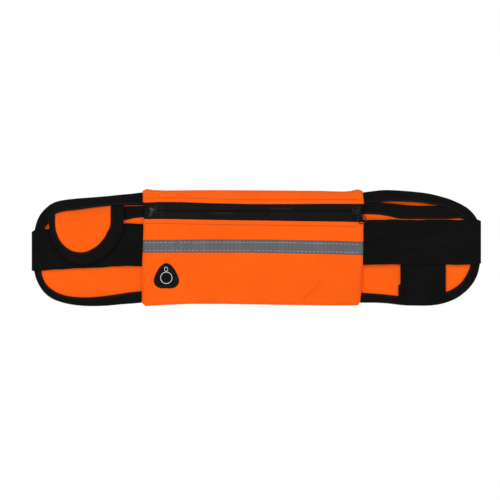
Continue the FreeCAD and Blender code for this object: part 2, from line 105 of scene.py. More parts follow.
def rounded_poly(pts, step=1.2):
    """Closed loop of a polygon (x, z, corner radius)."""
    out, n = [], len(pts)
    for i in range(n):
        b = np.array(pts[i][:2], float)
        a, c, r = np.array(pts[i - 1][:2], float), np.array(pts[(i + 1) % n][:2], float), pts[i][2]
        u, w = (a - b) / np.linalg.norm(a - b), (c - b) / np.linalg.norm(c - b)
        half = math.acos(np.clip(u @ w, -1, 1)) / 2
        if r <= 0 or half > 1.55:
            out.append(b)
            continue
        t = r / math.tan(half)
        m = (u + w) / np.linalg.norm(u + w)
        centre = b + m * r / math.sin(half)
        p, q = b + u * t - centre, b + w * t - centre
        a0, a1 = math.atan2(p[1], p[0]), math.atan2(q[1], q[0])
        while a1 - a0 > math.pi:
            a1 -= 2 * math.pi
        while a1 - a0 < -math.pi:
            a1 += 2 * math.pi
        k = max(2, int(round(abs(a1 - a0) * r / min(step, r))))
        out += [centre + r * np.array([math.cos(a0 + (a1 - a0) * j / k), math.sin(a0 + (a1 - a0) * j / k)]) for j in range(k + 1)]
    out.append(out[0])
    return straight(out, step)[:-1]


def segs(poly, closed=True):
    return (poly, np.roll(poly, -1, 0)) if closed else (poly[:-1], poly[1:])


def dist(P, poly, closed=True):
    """Distance of each point to a polyline."""
    A, B = segs(np.asarray(poly, float), closed)
    d = np.full(len(P), 1e9)
    for j in range(0, len(A), 64):
        a, b = A[j:j + 64], B[j:j + 64]
        ab = b - a
        L = np.maximum((ab**2).sum(1), 1e-12)
        t = np.clip(((P[:, None] - a) * ab).sum(2) / L, 0, 1)
        q = a + t[..., None] * ab
        d = np.minimum(d, np.sqrt(((P[:, None] - q) ** 2).sum(2)).min(1))
    return d


def inside(P, poly):
    A, B = segs(np.asarray(poly, float))
    c = np.zeros(len(P), bool)
    for (ax, az), (bx, bz) in zip(A, B):
        if az == bz:
            continue
        hit = (az > P[:, 1]) != (bz > P[:, 1])
        x = (bx - ax) * (P[:, 1] - az) / (bz - az) + ax
        c ^= hit & (P[:, 0] < x)
    return c


def clip_loop(poly, keep):
    """Sutherland-Hodgman against one half plane: keep(P) gives a signed value, kept where positive."""
    v = keep(poly)
    out = []
    for i in range(len(poly)):
        j = (i + 1) % len(poly)
        if v[i] > 0:
            out.append(poly[i])
        if (v[i] > 0) != (v[j] > 0):
            out.append(poly[i] + (poly[j] - poly[i]) * v[i] / (v[i] - v[j]))
    return loop(np.array(out))


def densify(R, step=1.6):
    return loop(*[straight([a, b], step) for a, b in zip(R, np.roll(R, -1, 0))])


def smooth(t):
    t = np.clip(t, 0, 1)
    return t * t * (3 - 2 * t)


def arc(d, r):
    """0 at the edge, 1 from r inwards, round as a quarter circle."""
    t = np.clip(d / r, 0, 1)
    return np.sqrt(np.maximum(0, 1 - (1 - t) ** 2))


def waves(P, seed, n, lo, hi, stretch=(1, 1)):
    """Smooth noise of about -1 to 1, from n plane waves of wavelengths lo to hi mm."""
    r = np.random.RandomState(seed)
    out = np.zeros(len(P))
    for _ in range(n):
        w = 2 * math.pi / (lo + (hi - lo) * r.rand())
        a = r.rand() * 2 * math.pi
        out += np.sin(w * (math.cos(a) * P[:, 0] / stretch[0] + math.sin(a) * P[:, 1] / stretch[1]) + r.rand() * 6.28)
    return out / math.sqrt(n) / 1.2


# ------------------------------------------------------------------- meshing
def mesh_object(name, verts, faces, mat, shade=True):
    me = bpy.data.meshes.new(name)
    verts = np.asarray(verts, float)
    me.from_pydata((verts * MM).tolist(), [], [tuple(int(i) for i in f) for f in faces])
    a = me.attributes.new("pos", "FLOAT_VECTOR", "POINT")
    a.data.foreach_set("vector", verts.astype(np.float32).ravel())
    me.update()
    if shade:
        me.polygons.foreach_set("use_smooth", np.ones(len(me.polygons), bool))
    ob = bpy.data.objects.new(name, me)
    ob.data.materials.append(mat)
    COL.objects.link(ob)
    return ob


def triangulate(loops, rings, step, lines=()):
    """2D triangles of the region inside loops[0] and outside the others, with rows of points along its edges
    and along the given lines, where the surface has finer relief."""
    pts, edges = [], []
    for L in loops:
        k = len(pts)
        pts += list(L)
        edges += [(k + i, k + (i + 1) % len(L)) for i in range(len(L))]
    border = len(pts)

    def within(P):
        ok = inside(P, loops[0])
        for H in loops[1:]:
            ok &= ~inside(P, H)
        return ok

    def edge_dist(P):
        return np.min([dist(P, L) for L in loops], axis=0)

    for r in rings:
        for L in loops:
            t = np.roll(L, -1, 0) - np.roll(L, 1, 0)
            t /= np.maximum(np.linalg.norm(t, axis=1), 1e-9)[:, None]
            nrm = np.c_[-t[:, 1], t[:, 0]]
            for sgn in (1, -1):
                C = L + nrm * r * sgn
                C = C[within(C)]
                if len(C):
                    C = C[edge_dist(C) > r * 0.96]
                    pts += list(C)
    lo, hi = loops[0].min(0), loops[0].max(0)
    gx, gz = np.meshgrid(np.arange(lo[0], hi[0], step), np.arange(lo[1], hi[1], step * 0.87))
    gx[1::2] += step / 2
    G = np.c_[gx.ravel(), gz.ravel()]
    G = G[within(G)]
    if len(G):
        G = G[edge_dist(G) > (rings[-1] if rings else 0) + 0.55 * step]
        for ln in lines:
            G = G[dist(G, ln, closed=False) > 1.9 + 0.4 * step]
        pts += list(G)
    for ln in lines:
        L = straight([tuple(p) for p in ln], 1.5)
        t = np.gradient(L, axis=0)
        t /= np.maximum(np.linalg.norm(t, axis=1), 1e-9)[:, None]
        for o in (-1.9, -1.05, -0.5, 0.0, 0.5, 1.05, 1.9):
            C = L + np.c_[-t[:, 1], t[:, 0]] * o
            C = C[within(C)]
            if len(C):
                C = C[edge_dist(C) > (rings[-1] if rings else 0) + 0.5]
                pts += list(C)
    P = np.array(pts)
    vs, _, fs, _, _, _ = delaunay_2d_cdt([Vector(p) for p in P], edges, [], 0, 1e-5)
    V = np.array([tuple(v) for v in vs])
    F = np.array([list(f) for f in fs if len(f) == 3])
    c = V[F].mean(1)
    F = F[within(c)]
    a, b, c = V[F[:, 0]], V[F[:, 1]], V[F[:, 2]]
    area = (b[:, 0] - a[:, 0]) * (c[:, 1] - a[:, 1]) - (b[:, 1] - a[:, 1]) * (c[:, 0] - a[:, 0])
    F[area < 0] = F[area < 0][:, ::-1]
    F = F[np.abs(area) > 1e-7]
    used = np.unique(F)
    new = -np.ones(len(V), int)
    new[used] = np.arange(len(used))
    V, F = V[used], new[F]
    ed = np.sort(np.vstack([F[:, [0, 1]], F[:, [1, 2]], F[:, [2, 0]]]), axis=1)
    u, n = np.unique(ed, axis=0, return_counts=True)
    rim = np.zeros(len(V), bool)
    rim[u[n == 1].ravel()] = True
    return V, F, rim


def pillow(name, loops, front, back, mat, rings=(0.12, 0.4, 0.9, 1.8), step=2.4, lines=()):
    """A closed piece: front(P) and back(P) give y in mm, and both sides share their edge."""
    V, F, rim = triangulate(loops, rings, step, lines)
    yf, yb = front(V), back(V)
    mid = (yf + yb) / 2
    yf[rim] = mid[rim]
    verts = [np.c_[V[:, 0], yf, V[:, 1]]]
    idx = np.arange(len(V))
    bi = idx.copy()
    bi[~rim] = len(V) + np.arange((~rim).sum())
    verts.append(np.c_[V[~rim, 0], yb[~rim], V[~rim, 1]])
    faces = np.vstack([F, bi[F][:, ::-1]])
    return mesh_object(name, np.vstack(verts), faces, mat)


def tube(name, path, radius, mat, closed=False, n=10, flat=1.0, up=(0, 1, 0), taper=None, parts=None):
    """A round or flattened tube along a 3D path in mm. flat scales its size along up."""
    path = np.asarray(path, float)
    k = len(path)
    t = np.roll(path, -1, 0) - np.roll(path, 1, 0)
    if not closed:
        t[0], t[-1] = path[1] - path[0], path[-1] - path[-2]
    t /= np.linalg.norm(t, axis=1)[:, None]
    u = np.tile(np.array(up, float), (k, 1))
    u -= (u * t).sum(1)[:, None] * t
    u /= np.maximum(np.linalg.norm(u, axis=1), 1e-9)[:, None]
    w = np.cross(t, u)
    a = np.linspace(0, 2 * math.pi, n, endpoint=False)
    r = np.full(k, radius) if taper is None else radius * np.asarray(taper)
    V = (path[:, None] + r[:, None, None] * (np.cos(a)[None, :, None] * w[:, None] + flat * np.sin(a)[None, :, None] * u[:, None])).reshape(-1, 3)
    F = []
    for i in range(k if closed else k - 1):
        j = (i + 1) % k
        F += [(i * n + m, i * n + (m + 1) % n, j * n + (m + 1) % n, j * n + m) for m in range(n)]
    if not closed:
        F += [tuple(range(n))[::-1], tuple((k - 1) * n + m for m in range(n))]
    if parts is not None:
        parts.append((V, F))
        return None
    return mesh_object(name, V, F, mat)


def join_parts(name, parts, mat):
    Vs, Fs, k = [], [], 0
    for V, F in parts:
        Vs.append(V)
        Fs += [tuple(i + k for i in f) for f in F]
        k += len(V)
    return mesh_object(name, np.vstack(Vs), Fs, mat)


def along(path, pitch, start=None):
    """Points and tangents every pitch mm along a polyline."""
    path = np.asarray(path, float)
    s = np.r_[0, np.cumsum(np.linalg.norm(np.diff(path, axis=0), axis=1))]
    n = max(1, int((s[-1] - (start or 0)) / pitch))
    t = (start if start is not None else pitch / 2) + np.arange(n) * pitch
    t = t[t < s[-1]]
    C = np.c_[[np.interp(t, s, path[:, i]) for i in range(path.shape[1])]].T
    D = np.c_[[np.interp(np.minimum(t + 0.3, s[-1]), s, path[:, i]) for i in range(path.shape[1])]].T - \
        np.c_[[np.interp(np.maximum(t - 0.3, 0), s, path[:, i]) for i in range(path.shape[1])]].T
    return C, D / np.maximum(np.linalg.norm(D, axis=1), 1e-9)[:, None]


def stitches(name, paths, height, mat, pitch=3.4, length=2.4, r=0.33, sink=0.1, side=-1, seed=1, angle=0.0, skip=0.0):
    """Rows of thread on a surface. paths are (x, z) polylines and height(P) the surface's y."""
    rnd = np.random.RandomState(seed)
    parts = []
    prof = np.array([[-0.5, 0.0], [-0.44, 0.62], [-0.25, 0.95], [0.0, 1.0], [0.25, 0.95], [0.44, 0.62], [0.5, 0.0]])
    for path in paths:
        C, D = along(path, pitch)
        jitter = rnd.randn(len(C), 2) * 0.05
        C = C + jitter
        y = height(C)
        for c, d, yy in zip(C, D, y):
            if rnd.rand() < skip:
                continue
            a = math.atan2(d[1], d[0]) + angle + rnd.randn() * 0.03
            dx, dz = math.cos(a), math.sin(a)
            L = length * (1 + rnd.randn() * 0.04)
            V = []
            for (s, q) in prof:
                cx, cz = c[0] + dx * s * L, c[1] + dz * s * L
                lift = side * (r * 0.55 * q - sink)
                rr = r * max(q, 0.12)
                for m in range(6):
                    b = 2 * math.pi * m / 6
                    V.append((cx - dz * rr * math.cos(b), yy + lift + rr * 0.75 * math.sin(b), cz + dx * rr * math.cos(b)))
            F = []
            for i in range(len(prof) - 1):
                F += [(i * 6 + m, i * 6 + (m + 1) % 6, (i + 1) * 6 + (m + 1) % 6, (i + 1) * 6 + m) for m in range(6)]
            F += [tuple(range(6))[::-1], tuple((len(prof) - 1) * 6 + m for m in range(6))]
            parts.append((np.array(V), F))
    return join_parts(name, parts, mat)


def ribbon(name, path, z0, z1, t, mat, nz=18, shift=None, thin=None, edge=0.55):
    """A strap of thickness t that stands on edge and follows an (x, y) path; path is its outer face's line and t goes to the left-hand side of it."""
    path = np.asarray(path, float)
    k = len(path)
    tan = np.gradient(path, axis=0)
    tan /= np.linalg.norm(tan, axis=1)[:, None]
    nrm = np.c_[-tan[:, 1], tan[:, 0]]
    z0, z1 = np.broadcast_to(z0, k).astype(float), np.broadcast_to(z1, k).astype(float)
    th = np.full(k, t) if thin is None else t * np.asarray(thin)
    v = np.linspace(0, 1, nz)
    e = np.array([0.0, 0.12, 0.4, 1.0]) * edge
    rows = []
    h = z1 - z0
    for side in (0, 1):
        zz = [z0 + q for q in e[1:]] + [z0 + edge + (h - 2 * edge) * a for a in v[1:-1]] + [z1 - q for q in e[1:][::-1]]
        dz = list(e[1:]) + [edge] * (nz - 2) + list(e[1:][::-1])
        if side:
            zz, dz = zz[::-1], dz[::-1]
        for z, q in zip(zz, dz):
            f = arc(np.array([q]), edge)[0]
            depth = th * (0.5 - 0.5 * f) if side == 0 else th * (0.5 + 0.5 * f)
            rows.append((z, depth))
        rows.append((z1 if side == 0 else z0, th * 0.5))
    n = len(rows)
    V = np.zeros((k, n, 3))
    for j, (z, depth) in enumerate(rows):
        q = path + nrm * depth[:, None]
        V[:, j, 0], V[:, j, 1], V[:, j, 2] = q[:, 0], q[:, 1], z
    V = V.reshape(-1, 3)
    if shift is not None:
        V = V + shift(V)
    F = []
    for i in range(k - 1):
        F += [(i * n + m, (i + 1) * n + m, (i + 1) * n + (m + 1) % n, i * n + (m + 1) % n) for m in range(n)]
    F += [tuple(range(n)), tuple((k - 1) * n + m for m in range(n))[::-1]]
    ob = mesh_object(name, V, F, mat)
    bm = bmesh.new()
    bm.from_mesh(ob.data)
    bmesh.ops.triangulate(bm, faces=[f for f in bm.faces if len(f.verts) > 4])
    bmesh.ops.recalc_face_normals(bm, faces=bm.faces)
    bm.to_mesh(ob.data)
    bm.free()
    return ob


# ----------------------------------------------------------------- materials
class Mat:
    """A small helper round one node material. Textures read the rest position in mm from the attribute tex."""

    def __init__(self, name, cad=False):
        self.m = bpy.data.materials.new(name)
        self.m.use_nodes = True
        self.t = self.m.node_tree
        self.b = self.t.nodes["Principled BSDF"]
        if cad:
            c = self.t.nodes.new("ShaderNodeTexCoord")
            v = self.t.nodes.new("ShaderNodeVectorMath")
            v.operation = "SCALE"
            v.inputs["Scale"].default_value = 1000.0
            self.t.links.new(c.outputs["Object"], v.inputs[0])
            self.pos = v.outputs[0]
        else:
            a = self.t.nodes.new("ShaderNodeAttribute")
            a.attribute_name = "tex"
            self.pos = a.outputs["Vector"]
        self.bumps = []

    def set(self, **kw):
        names = {"rough": "Roughness", "spec": "Specular IOR Level", "sheen": "Sheen Weight", "sheen_rough": "Sheen Roughness",
                 "coat": "Coat Weight", "coat_rough": "Coat Roughness", "metal": "Metallic", "ior": "IOR"}
        for k, v in kw.items():
            self.b.inputs[names[k]].default_value = v
        return self

    def node(self, kind, **kw):
        n = self.t.nodes.new(kind)
        for k, v in kw.items():
            setattr(n, k, v)
        return n

    def link(self, a, b):
        self.t.links.new(a, b)

    def val(self, socket, v):
        if hasattr(v, "is_output"):
            self.link(v, socket)
        else:
            socket.default_value = v

    def math(self, op, a, b=0.0, c=None, clamp=False):
        n = self.node("ShaderNodeMath", operation=op, use_clamp=clamp)
        self.val(n.inputs[0], a)
        self.val(n.inputs[1], b)
        if c is not None:
            self.val(n.inputs[2], c)
        return n.outputs[0]

    def vec(self, scale):
        n = self.node("ShaderNodeVectorMath", operation="MULTIPLY")
        self.link(self.pos, n.inputs[0])
        n.inputs[1].default_value = scale
        return n.outputs[0]

    def noise(self, size, detail=3.0, rough=0.55, stretch=(1, 1, 1)):
        n = self.node("ShaderNodeTexNoise")
        self.link(self.vec([1 / (size * s) for s in stretch]), n.inputs["Vector"])
        n.inputs["Scale"].default_value = 1.0
        n.inputs["Detail"].default_value = detail
        n.inputs["Roughness"].default_value = rough
        return n.outputs["Fac"]

    def voronoi(self, size, feature="F1", stretch=(1, 1, 1), randomness=1.0):
        n = self.node("ShaderNodeTexVoronoi", feature=feature)
        self.link(self.vec([1 / (size * s) for s in stretch]), n.inputs["Vector"])
        n.inputs["Scale"].default_value = 1.0
        n.inputs["Randomness"].default_value = randomness
        return n.outputs["Distance"]

    def axis(self, i):
        n = self.node("ShaderNodeSeparateXYZ")
        self.link(self.pos, n.inputs[0])
        return n.outputs[i]

    def sine(self, axis, pitch, phase=0.0):
        """Sine of one coordinate, 0 to 1."""
        a = self.math("MULTIPLY_ADD", self.axis(axis), 2 * math.pi / pitch, phase)
        return self.math("MULTIPLY_ADD", self.math("SINE", a), 0.5, 0.5)

    def ramp(self, fac, stops):
        n = self.node("ShaderNodeValToRGB")
        self.link(fac, n.inputs[0])
        e = n.color_ramp.elements
        while len(e) < len(stops):
            e.new(0.5)
        for q, (p, c) in zip(e, stops):
            q.position, q.color = p, (*c, 1)
        return n.outputs[0]

    def mixc(self, fac, a, b, kind="MIX"):
        n = self.node("ShaderNodeMix", data_type="RGBA", blend_type=kind)
        self.val(n.inputs[0], fac)
        for s, v in ((n.inputs[6], a), (n.inputs[7], b)):
            if hasattr(v, "is_output"):
                self.link(v, s)
            else:
                s.default_value = (*v, 1)
        return n.outputs[2]

    def bump(self, height, strength, dist_mm):
        self.bumps.append((height, strength, dist_mm))
        return self

    def attr(self, name):
        a = self.node("ShaderNodeAttribute")
        a.attribute_name = name
        return a.outputs["Fac"]

    def colour(self, c):
        self.link(c, self.b.inputs["Base Color"])
        return self

    def rough_map(self, fac, lo, hi):
        self.link(self.math("MULTIPLY_ADD", fac, hi - lo, lo), self.b.inputs["Roughness"])
        return self

    def done(self):
        last = None
        for h, s, d in self.bumps:
            n = self.node("ShaderNodeBump")
            n.inputs["Strength"].default_value = s
            n.inputs["Distance"].default_value = d * MM
            self.link(h, n.inputs["Height"])
            if last:
                self.link(last, n.inputs["Normal"])
            last = n.outputs[0]
        if last:
            self.link(last, self.b.inputs["Normal"])
        return self.m


ORANGE = (0.885, 0.106, 0.0045)
BLACK = (0.0052, 0.0049, 0.0049)


def k(c, f):
    return tuple(min(1.0, v * f) for v in c)


def knit(name, base, dark=0.93, light=1.03):
    m = Mat(name).set(rough=0.88, spec=0.07, sheen=0.02, sheen_rough=0.5)
    large = m.noise(38, 2)
    col = m.ramp(large, [(0.3, k(base, dark)), (0.7, k(base, light))])
    wale = m.sine(0, 0.62)
    course = m.sine(2, 0.5)
    cell = m.math("MULTIPLY", wale, course)
    col = m.mixc(m.math("MULTIPLY", cell, 0.10), col, k(base, 0.72))
    fibre = m.noise(0.5, 2, stretch=(1, 1, 3))
    m.colour(m.mixc(m.math("MULTIPLY", fibre, 0.06), col, k(base, 1.15)))
    m.rough_map(m.noise(7, 3), 0.80, 0.95)
    m.bump(cell, 0.35, 0.07).bump(m.noise(3.2, 3), 0.35, 0.12).bump(m.noise(15, 3), 0.45, 0.5)
    return m.done()


def grosgrain(name, base):
    """Edge binding: fine ribs across the strip. tex is (along, across, 0)."""
    m = Mat(name).set(rough=0.86, spec=0.03, sheen=0.008, sheen_rough=0.4)
    rib = m.sine(0, 1.05)
    thread = m.noise(0.45, 2, stretch=(0.5, 4, 1))
    col = m.ramp(m.noise(18, 3), [(0.3, k(base, 0.8)), (0.75, k(base, 1.35))])
    m.colour(m.mixc(m.math("MULTIPLY", rib, 0.30), col, k(base, 1.9)))
    m.rough_map(m.noise(5, 2), 0.74, 0.93)
    m.bump(rib, 0.5, 0.14).bump(thread, 0.3, 0.06).bump(m.noise(7, 3), 0.5, 0.35)
    return m.done()


def elastic(name, base):
    """Woven elastic: ribs that run along the strap and the small steps of the weft. tex is (along, 0, across)."""
    m = Mat(name).set(rough=0.82, spec=0.03, sheen=0.008, sheen_rough=0.4)
    rib = m.sine(2, 1.35)
    off = m.math("MULTIPLY", m.math("FLOOR", m.math("MULTIPLY", m.axis(2), 1 / 1.35)), math.pi)
    step = m.math("MULTIPLY_ADD", m.axis(0), 2 * math.pi / 0.95, off)
    weft = m.math("MULTIPLY_ADD", m.math("SINE", step), 0.5, 0.5)
    col = m.ramp(m.noise(22, 3, stretch=(2.5, 1, 1)), [(0.3, k(base, 0.75)), (0.75, k(base, 1.4))])
    m.colour(m.mixc(m.math("MULTIPLY", m.math("MULTIPLY", rib, weft), 0.35), col, k(base, 2.0)))
    m.rough_map(m.noise(6, 2), 0.70, 0.90)
    m.bump(rib, 0.55, 0.16).bump(weft, 0.3, 0.08).bump(m.noise(11, 3, stretch=(2, 1, 1)), 0.5, 0.4)
    return m.done()


def coated(name, base):
    """Coated zip tape: smooth, a little glossy, with a fine grain and painted highlights where its end is creased."""
    m = Mat(name).set(rough=0.34, spec=0.07, coat=0.0, coat_rough=0.22)
    col = m.ramp(m.noise(14, 3, stretch=(3, 1, 1)), [(0.3, k(base, 0.75)), (0.75, k(base, 1.25))])
    # painted highlight: lighter where the folded end is creased and in a few faint streaks along the tape
    m.colour(m.mixc(m.math("MULTIPLY", m.attr("painted_highlight_and_wear"), m.math("MULTIPLY_ADD", m.noise(1.1, 3), 0.9, 0.35), clamp=True), col, (0.21, 0.21, 0.22)))
    m.rough_map(m.noise(4, 3, stretch=(3, 1, 1)), 0.26, 0.42)
    m.bump(m.voronoi(0.5), 0.10, 0.04).bump(m.noise(9, 3, stretch=(2, 1, 1)), 0.5, 0.30)
    return m.done()


def bead(name, base):
    """Reflective tape: a layer of glass beads on grey cloth, with painted shade along its edges and painted highlights
    in streaks where it is creased.
    """
    m = Mat(name).set(rough=0.55, spec=0.35, metal=0.0)
    sp = m.voronoi(0.38)
    col = m.ramp(m.noise(12, 4, stretch=(2, 1, 1)), [(0.25, k(base, 0.86)), (0.75, k(base, 1.10))])
    col = m.mixc(m.math("MULTIPLY", sp, 0.35), col, k(base, 1.5))
    # painted shade: darker within about 1.3 mm of the tape's edges
    edge = m.math("SUBTRACT", 1.0, m.math("MULTIPLY", m.attr("ed"), 1 / 1.3), clamp=True)
    col = m.mixc(m.math("MULTIPLY", edge, 0.55), col, k(base, 0.45))
    # painted highlights: lighter streaks where the tape is creased
    m.colour(m.mixc(m.math("MULTIPLY", m.attr("painted_highlight_and_wear"), m.math("MULTIPLY_ADD", m.noise(2.0, 3), 0.8, 0.4), clamp=True), col, k(base, 2.3)))
    m.rough_map(m.noise(3, 3), 0.42, 0.68)
    m.bump(sp, 0.25, 0.05).bump(m.sine(0, 0.9), 0.12, 0.04).bump(m.noise(8, 3), 0.4, 0.2)
    return m.done()


def rubber(name, base, rough=0.42, spec=0.32):
    m = Mat(name).set(spec=spec)
    m.colour(m.ramp(m.noise(4, 4), [(0.3, k(base, 0.8)), (0.75, k(base, 1.3))]))
    m.rough_map(m.noise(2.2, 4), rough - 0.06, rough + 0.12)
    m.bump(m.noise(0.35, 2), 0.18, 0.03).bump(m.noise(3.0, 2), 0.25, 0.08)
    return m.done()


def thread(name, base):
    m = Mat(name).set(rough=0.6, spec=0.25, sheen=0.1)
    m.colour(m.ramp(m.noise(2.5, 2), [(0.3, k(base, 0.8)), (0.7, k(base, 1.15))]))
    m.bump(m.noise(0.25, 2, stretch=(2.5, 1, 0.6)), 0.4, 0.05)
    m.rough_map(m.noise(3, 2), 0.5, 0.72)
    return m.done()


def loops(name, base):
    """Loop side of a hook and loop fastener: a soft pile."""
    m = Mat(name).set(rough=0.95, spec=0.05, sheen=0.08, sheen_rough=0.5)
    v = m.noise(0.8, 4, 0.7)
    m.colour(m.ramp(m.math("MULTIPLY_ADD", m.noise(9, 3), 0.5, m.math("MULTIPLY", v, 0.5)), [(0.3, k(base, 0.6)), (0.7, k(base, 2.0))]))
    m.rough_map(v, 0.85, 1.0)
    m.bump(v, 0.9, 0.45).bump(m.voronoi(1.6), 0.4, 0.3)
    return m.done()


def hooks(name, base):
    """Hook side: rows of tiny stiff hooks on a ground weave."""
    m = Mat(name).set(rough=0.6, spec=0.3)
    v = m.voronoi(1.25, randomness=0.12)
    dots = m.math("SUBTRACT", 1.0, m.math("MULTIPLY", v, 2.2), clamp=True)
    m.colour(m.mixc(m.math("MULTIPLY", dots, 0.7), k(base, 0.8), k(base, 2.8)))
    m.rough_map(m.noise(0.7, 2), 0.45, 0.75)
    m.bump(dots, 1.0, 0.45).bump(m.sine(0, 1.25), 0.4, 0.1)
    return m.done()


def metal(name, base, metallic, rough, cad=True, spec=0.5, chip_and_glint=2.2):
    m = Mat(name, cad=cad).set(metal=metallic, spec=spec)
    # tone mottle with darker wear, and bright specks at the noise's top; on the black enamel these specks are painted
    # highlights (glints)
    painted_highlight_and_wear = m.noise(0.9, 4, 0.65)
    m.colour(m.ramp(painted_highlight_and_wear, [(0.35, k(base, 0.7)), (0.53, base), (0.64, k(base, chip_and_glint))]))
    m.rough_map(m.noise(0.6, 3), rough - 0.1, rough + 0.15)
    m.bump(m.noise(0.25, 2), 0.2, 0.02).bump(painted_highlight_and_wear, 0.2, 0.03)
    return m.done()


MAT = {
    "orange": knit("mat_orange_neoprene", ORANGE),
    "binding": grosgrain("mat_binding_black", k(BLACK, 0.9)),
    "elastic": elastic("mat_elastic_black", k(BLACK, 0.8)),
    "tape": coated("mat_zip_tape_black", k(BLACK, 0.8)),
    "coil": rubber("mat_zip_coil_black", k(BLACK, 0.8), 0.5, 0.04),
    "reflect": bead("mat_reflective_grey", (0.088, 0.087, 0.095)),
    "rubber": rubber("mat_port_rubber_black", k(BLACK, 1.0), 0.5, 0.05),
    "mark": rubber("mat_port_mark_grey", (0.63, 0.61, 0.62), 0.6, 0.1),
    # real topstitching, coloured dark red-brown, darker than the cloth, as painted shade of its stitch holes
    "thread_orange": thread("mat_thread_orange", (0.27, 0.020, 0.003)),
    "thread_black": thread("mat_thread_black", k(BLACK, 1.5)),
    "thread_grey": thread("mat_thread_grey", (0.30, 0.30, 0.32)),
    "loop": loops("mat_loop_black", BLACK),
    "hook": hooks("mat_hook_black", BLACK),
    # its bright specks are painted highlights (glints)
    "enamel": metal("mat_zip_metal_black", (0.0048, 0.0046, 0.0046), 0.0, 0.34, spec=0.06, chip_and_glint=14),
    "steel": metal("mat_steel_wire", (0.010, 0.0096, 0.0094), 0.3, 0.34, spec=0.3),
}


# ------------------------------------------------------------------ outlines
pouch_line = rounded_poly([
    (-110.5, 56.6, 0.8), (-106.5, 58.6, 3.0), (-100.0, 57.5, 12.0), (-86.0, 57.0, 60.0),
    (-42.0, 57.4, 60.0), (24.0, 57.0, 60.0), (68.0, 56.6, 60.0), (90.0, 55.9, 30.0),
    (98.0, 56.5, 10.0), (105.5, 58.2, 3.0), (110.4, 56.2, 0.8), (112.1, 42.0, 8.0),
    (111.7, 18.0, 30.0), (111.2, -15.0, 30.0), (109.2, -43.0, 30.0), (107.9, -54.5, 0.5), (105.6, -58.3, 2.0),
    (80.0, -58.5, 40.0), (30.0, -57.8, 40.0), (-30.0, -56.8, 60.0), (-64.0, -56.8, 60.0),
    (-86.0, -57.8, 60.0), (-107.5, -59.0, 2.0), (-111.4, -55.5, 1.5), (-111.3, -15.0, 30.0),
    (-110.1, 18.0, 60.0)], 1.3)
LOW = np.array([(-120.0, 28.3), (-92.0, 28.35), (-72.0, 28.1), (-42.0, 27.45), (-2.0, 26.95), (38.0, 26.35), (78.0, 25.85), (103.0, 25.4), (120.0, 25.2)])
TOP = np.array([(-120.0, 44.4), (-106.0, 44.6), (-92.0, 45.2), (-72.0, 45.1), (-42.0, 44.0), (-2.0, 43.15), (38.0, 43.1), (78.0, 43.4), (120.0, 43.2)])
ZIP_Z = 36.5
PORT_X, PORT_Z = -86.4, -30.5


def z_low(x):
    return np.interp(x, LOW[:, 0], LOW[:, 1])


def z_top(x):
    return np.interp(x, TOP[:, 0], TOP[:, 1])


tape_top = np.array([(-112.0, 7.3), (-40.0, 7.8), (20.0, 7.6), (78.0, 6.5), (113.0, 5.4)])
tape_low = np.array([(-112.0, -5.2), (-40.0, -5.2), (0.0, -5.3), (38.0, -6.0), (78.0, -6.7), (93.0, -7.2), (113.0, -7.9)])
tape_region = [*map(tuple, tape_top), *map(tuple, tape_low[::-1])]
half_w = [(-16.9, 3.3), (-20.7, 7.1), (-24.7, 9.5), (-28.7, 11.3), (-32.7, 12.35), (-36.9, 11.6), (-40.2, 8.0)]
port_line = cubic([(-86.4, -15.7)] + [(-86.4 + w + 0.35, z) for z, w in half_w] + [(-86.4, -41.0)] + [(-86.4 - w - 0.1, z) for z, w in reversed(half_w)], closed=True, step=0.9)

left_line = [
    (-104.0, 55.4), (-111.9, 54.9),
    (-122.2, 53.7), (-130.2, 53.0), (-142.8, 51.7), (-158.8, 50.3), (-174.8, 49.1),
    (-186.8, 47.8), (-195.4, 46.2), (-200.6, 44.2), (-207.3, 39.4), (-213.6, 31.8), (-217.3, 22.9),
    (-219.0, 14.0), (-219.6, 0.0), (-219.5, -14.0), (-218.8, -25.0), (-216.9, -32.0),
    (-214.0, -38.2), (-209.8, -44.4), (-202.8, -50.4), (-194.5, -54.2), (-186.2, -56.5),
    (-174.8, -58.3), (-158.8, -59.0), (-142.8, -58.3), (-130.2, -57.1), (-118.0, -56.2),
    (-111.9, -55.6), (-104.0, -54.9)]
left_window = [
    (-104.0, 42.0), (-111.9, 42.2),
    (-127.0, 42.2), (-134.0, 42.2), (-147.0, 41.2), (-162.0, 39.5), (-177.0, 37.4),
    (-192.2, 35.4), (-199.0, 32.4), (-204.9, 24.0), (-208.9, 18.0), (-211.6, 8.0),
    (-212.4, -4.0), (-212.3, -16.0), (-211.2, -27.0), (-207.2, -36.4), (-202.5, -41.2),
    (-190.7, -47.4), (-176.0, -50.0), (-162.7, -50.1), (-147.0, -48.7), (-132.0, -46.5), (-122.7, -45.2),
    (-111.9, -44.1), (-104.0, -43.4)]
right_line = [
    (102.5, 54.0), (111.3, 55.2),
    (123.3, 56.7), (131.0, 57.4), (137.8, 57.4), (149.3, 56.8), (163.3, 55.6), (171.0, 54.7),
    (179.8, 53.2), (188.0, 51.1), (196.0, 48.8), (203.0, 46.0), (211.0, 42.0), (216.2, 38.6), (221.0, 33.8),
    (225.2, 27.5), (227.5, 20.0), (228.0, 8.0), (228.1, -4.0), (227.9, -14.0), (226.9, -21.0),
    (225.3, -27.0), (222.6, -33.0), (218.8, -38.6), (212.8, -44.8), (204.3, -51.0), (196.0, -54.7),
    (188.0, -57.0), (177.8, -58.4), (163.3, -58.5), (153.8, -58.3), (145.8, -57.6), (137.8, -56.6), (129.8, -55.9), (118.0, -55.6),
    (111.3, -55.6), (102.5, -55.5)]
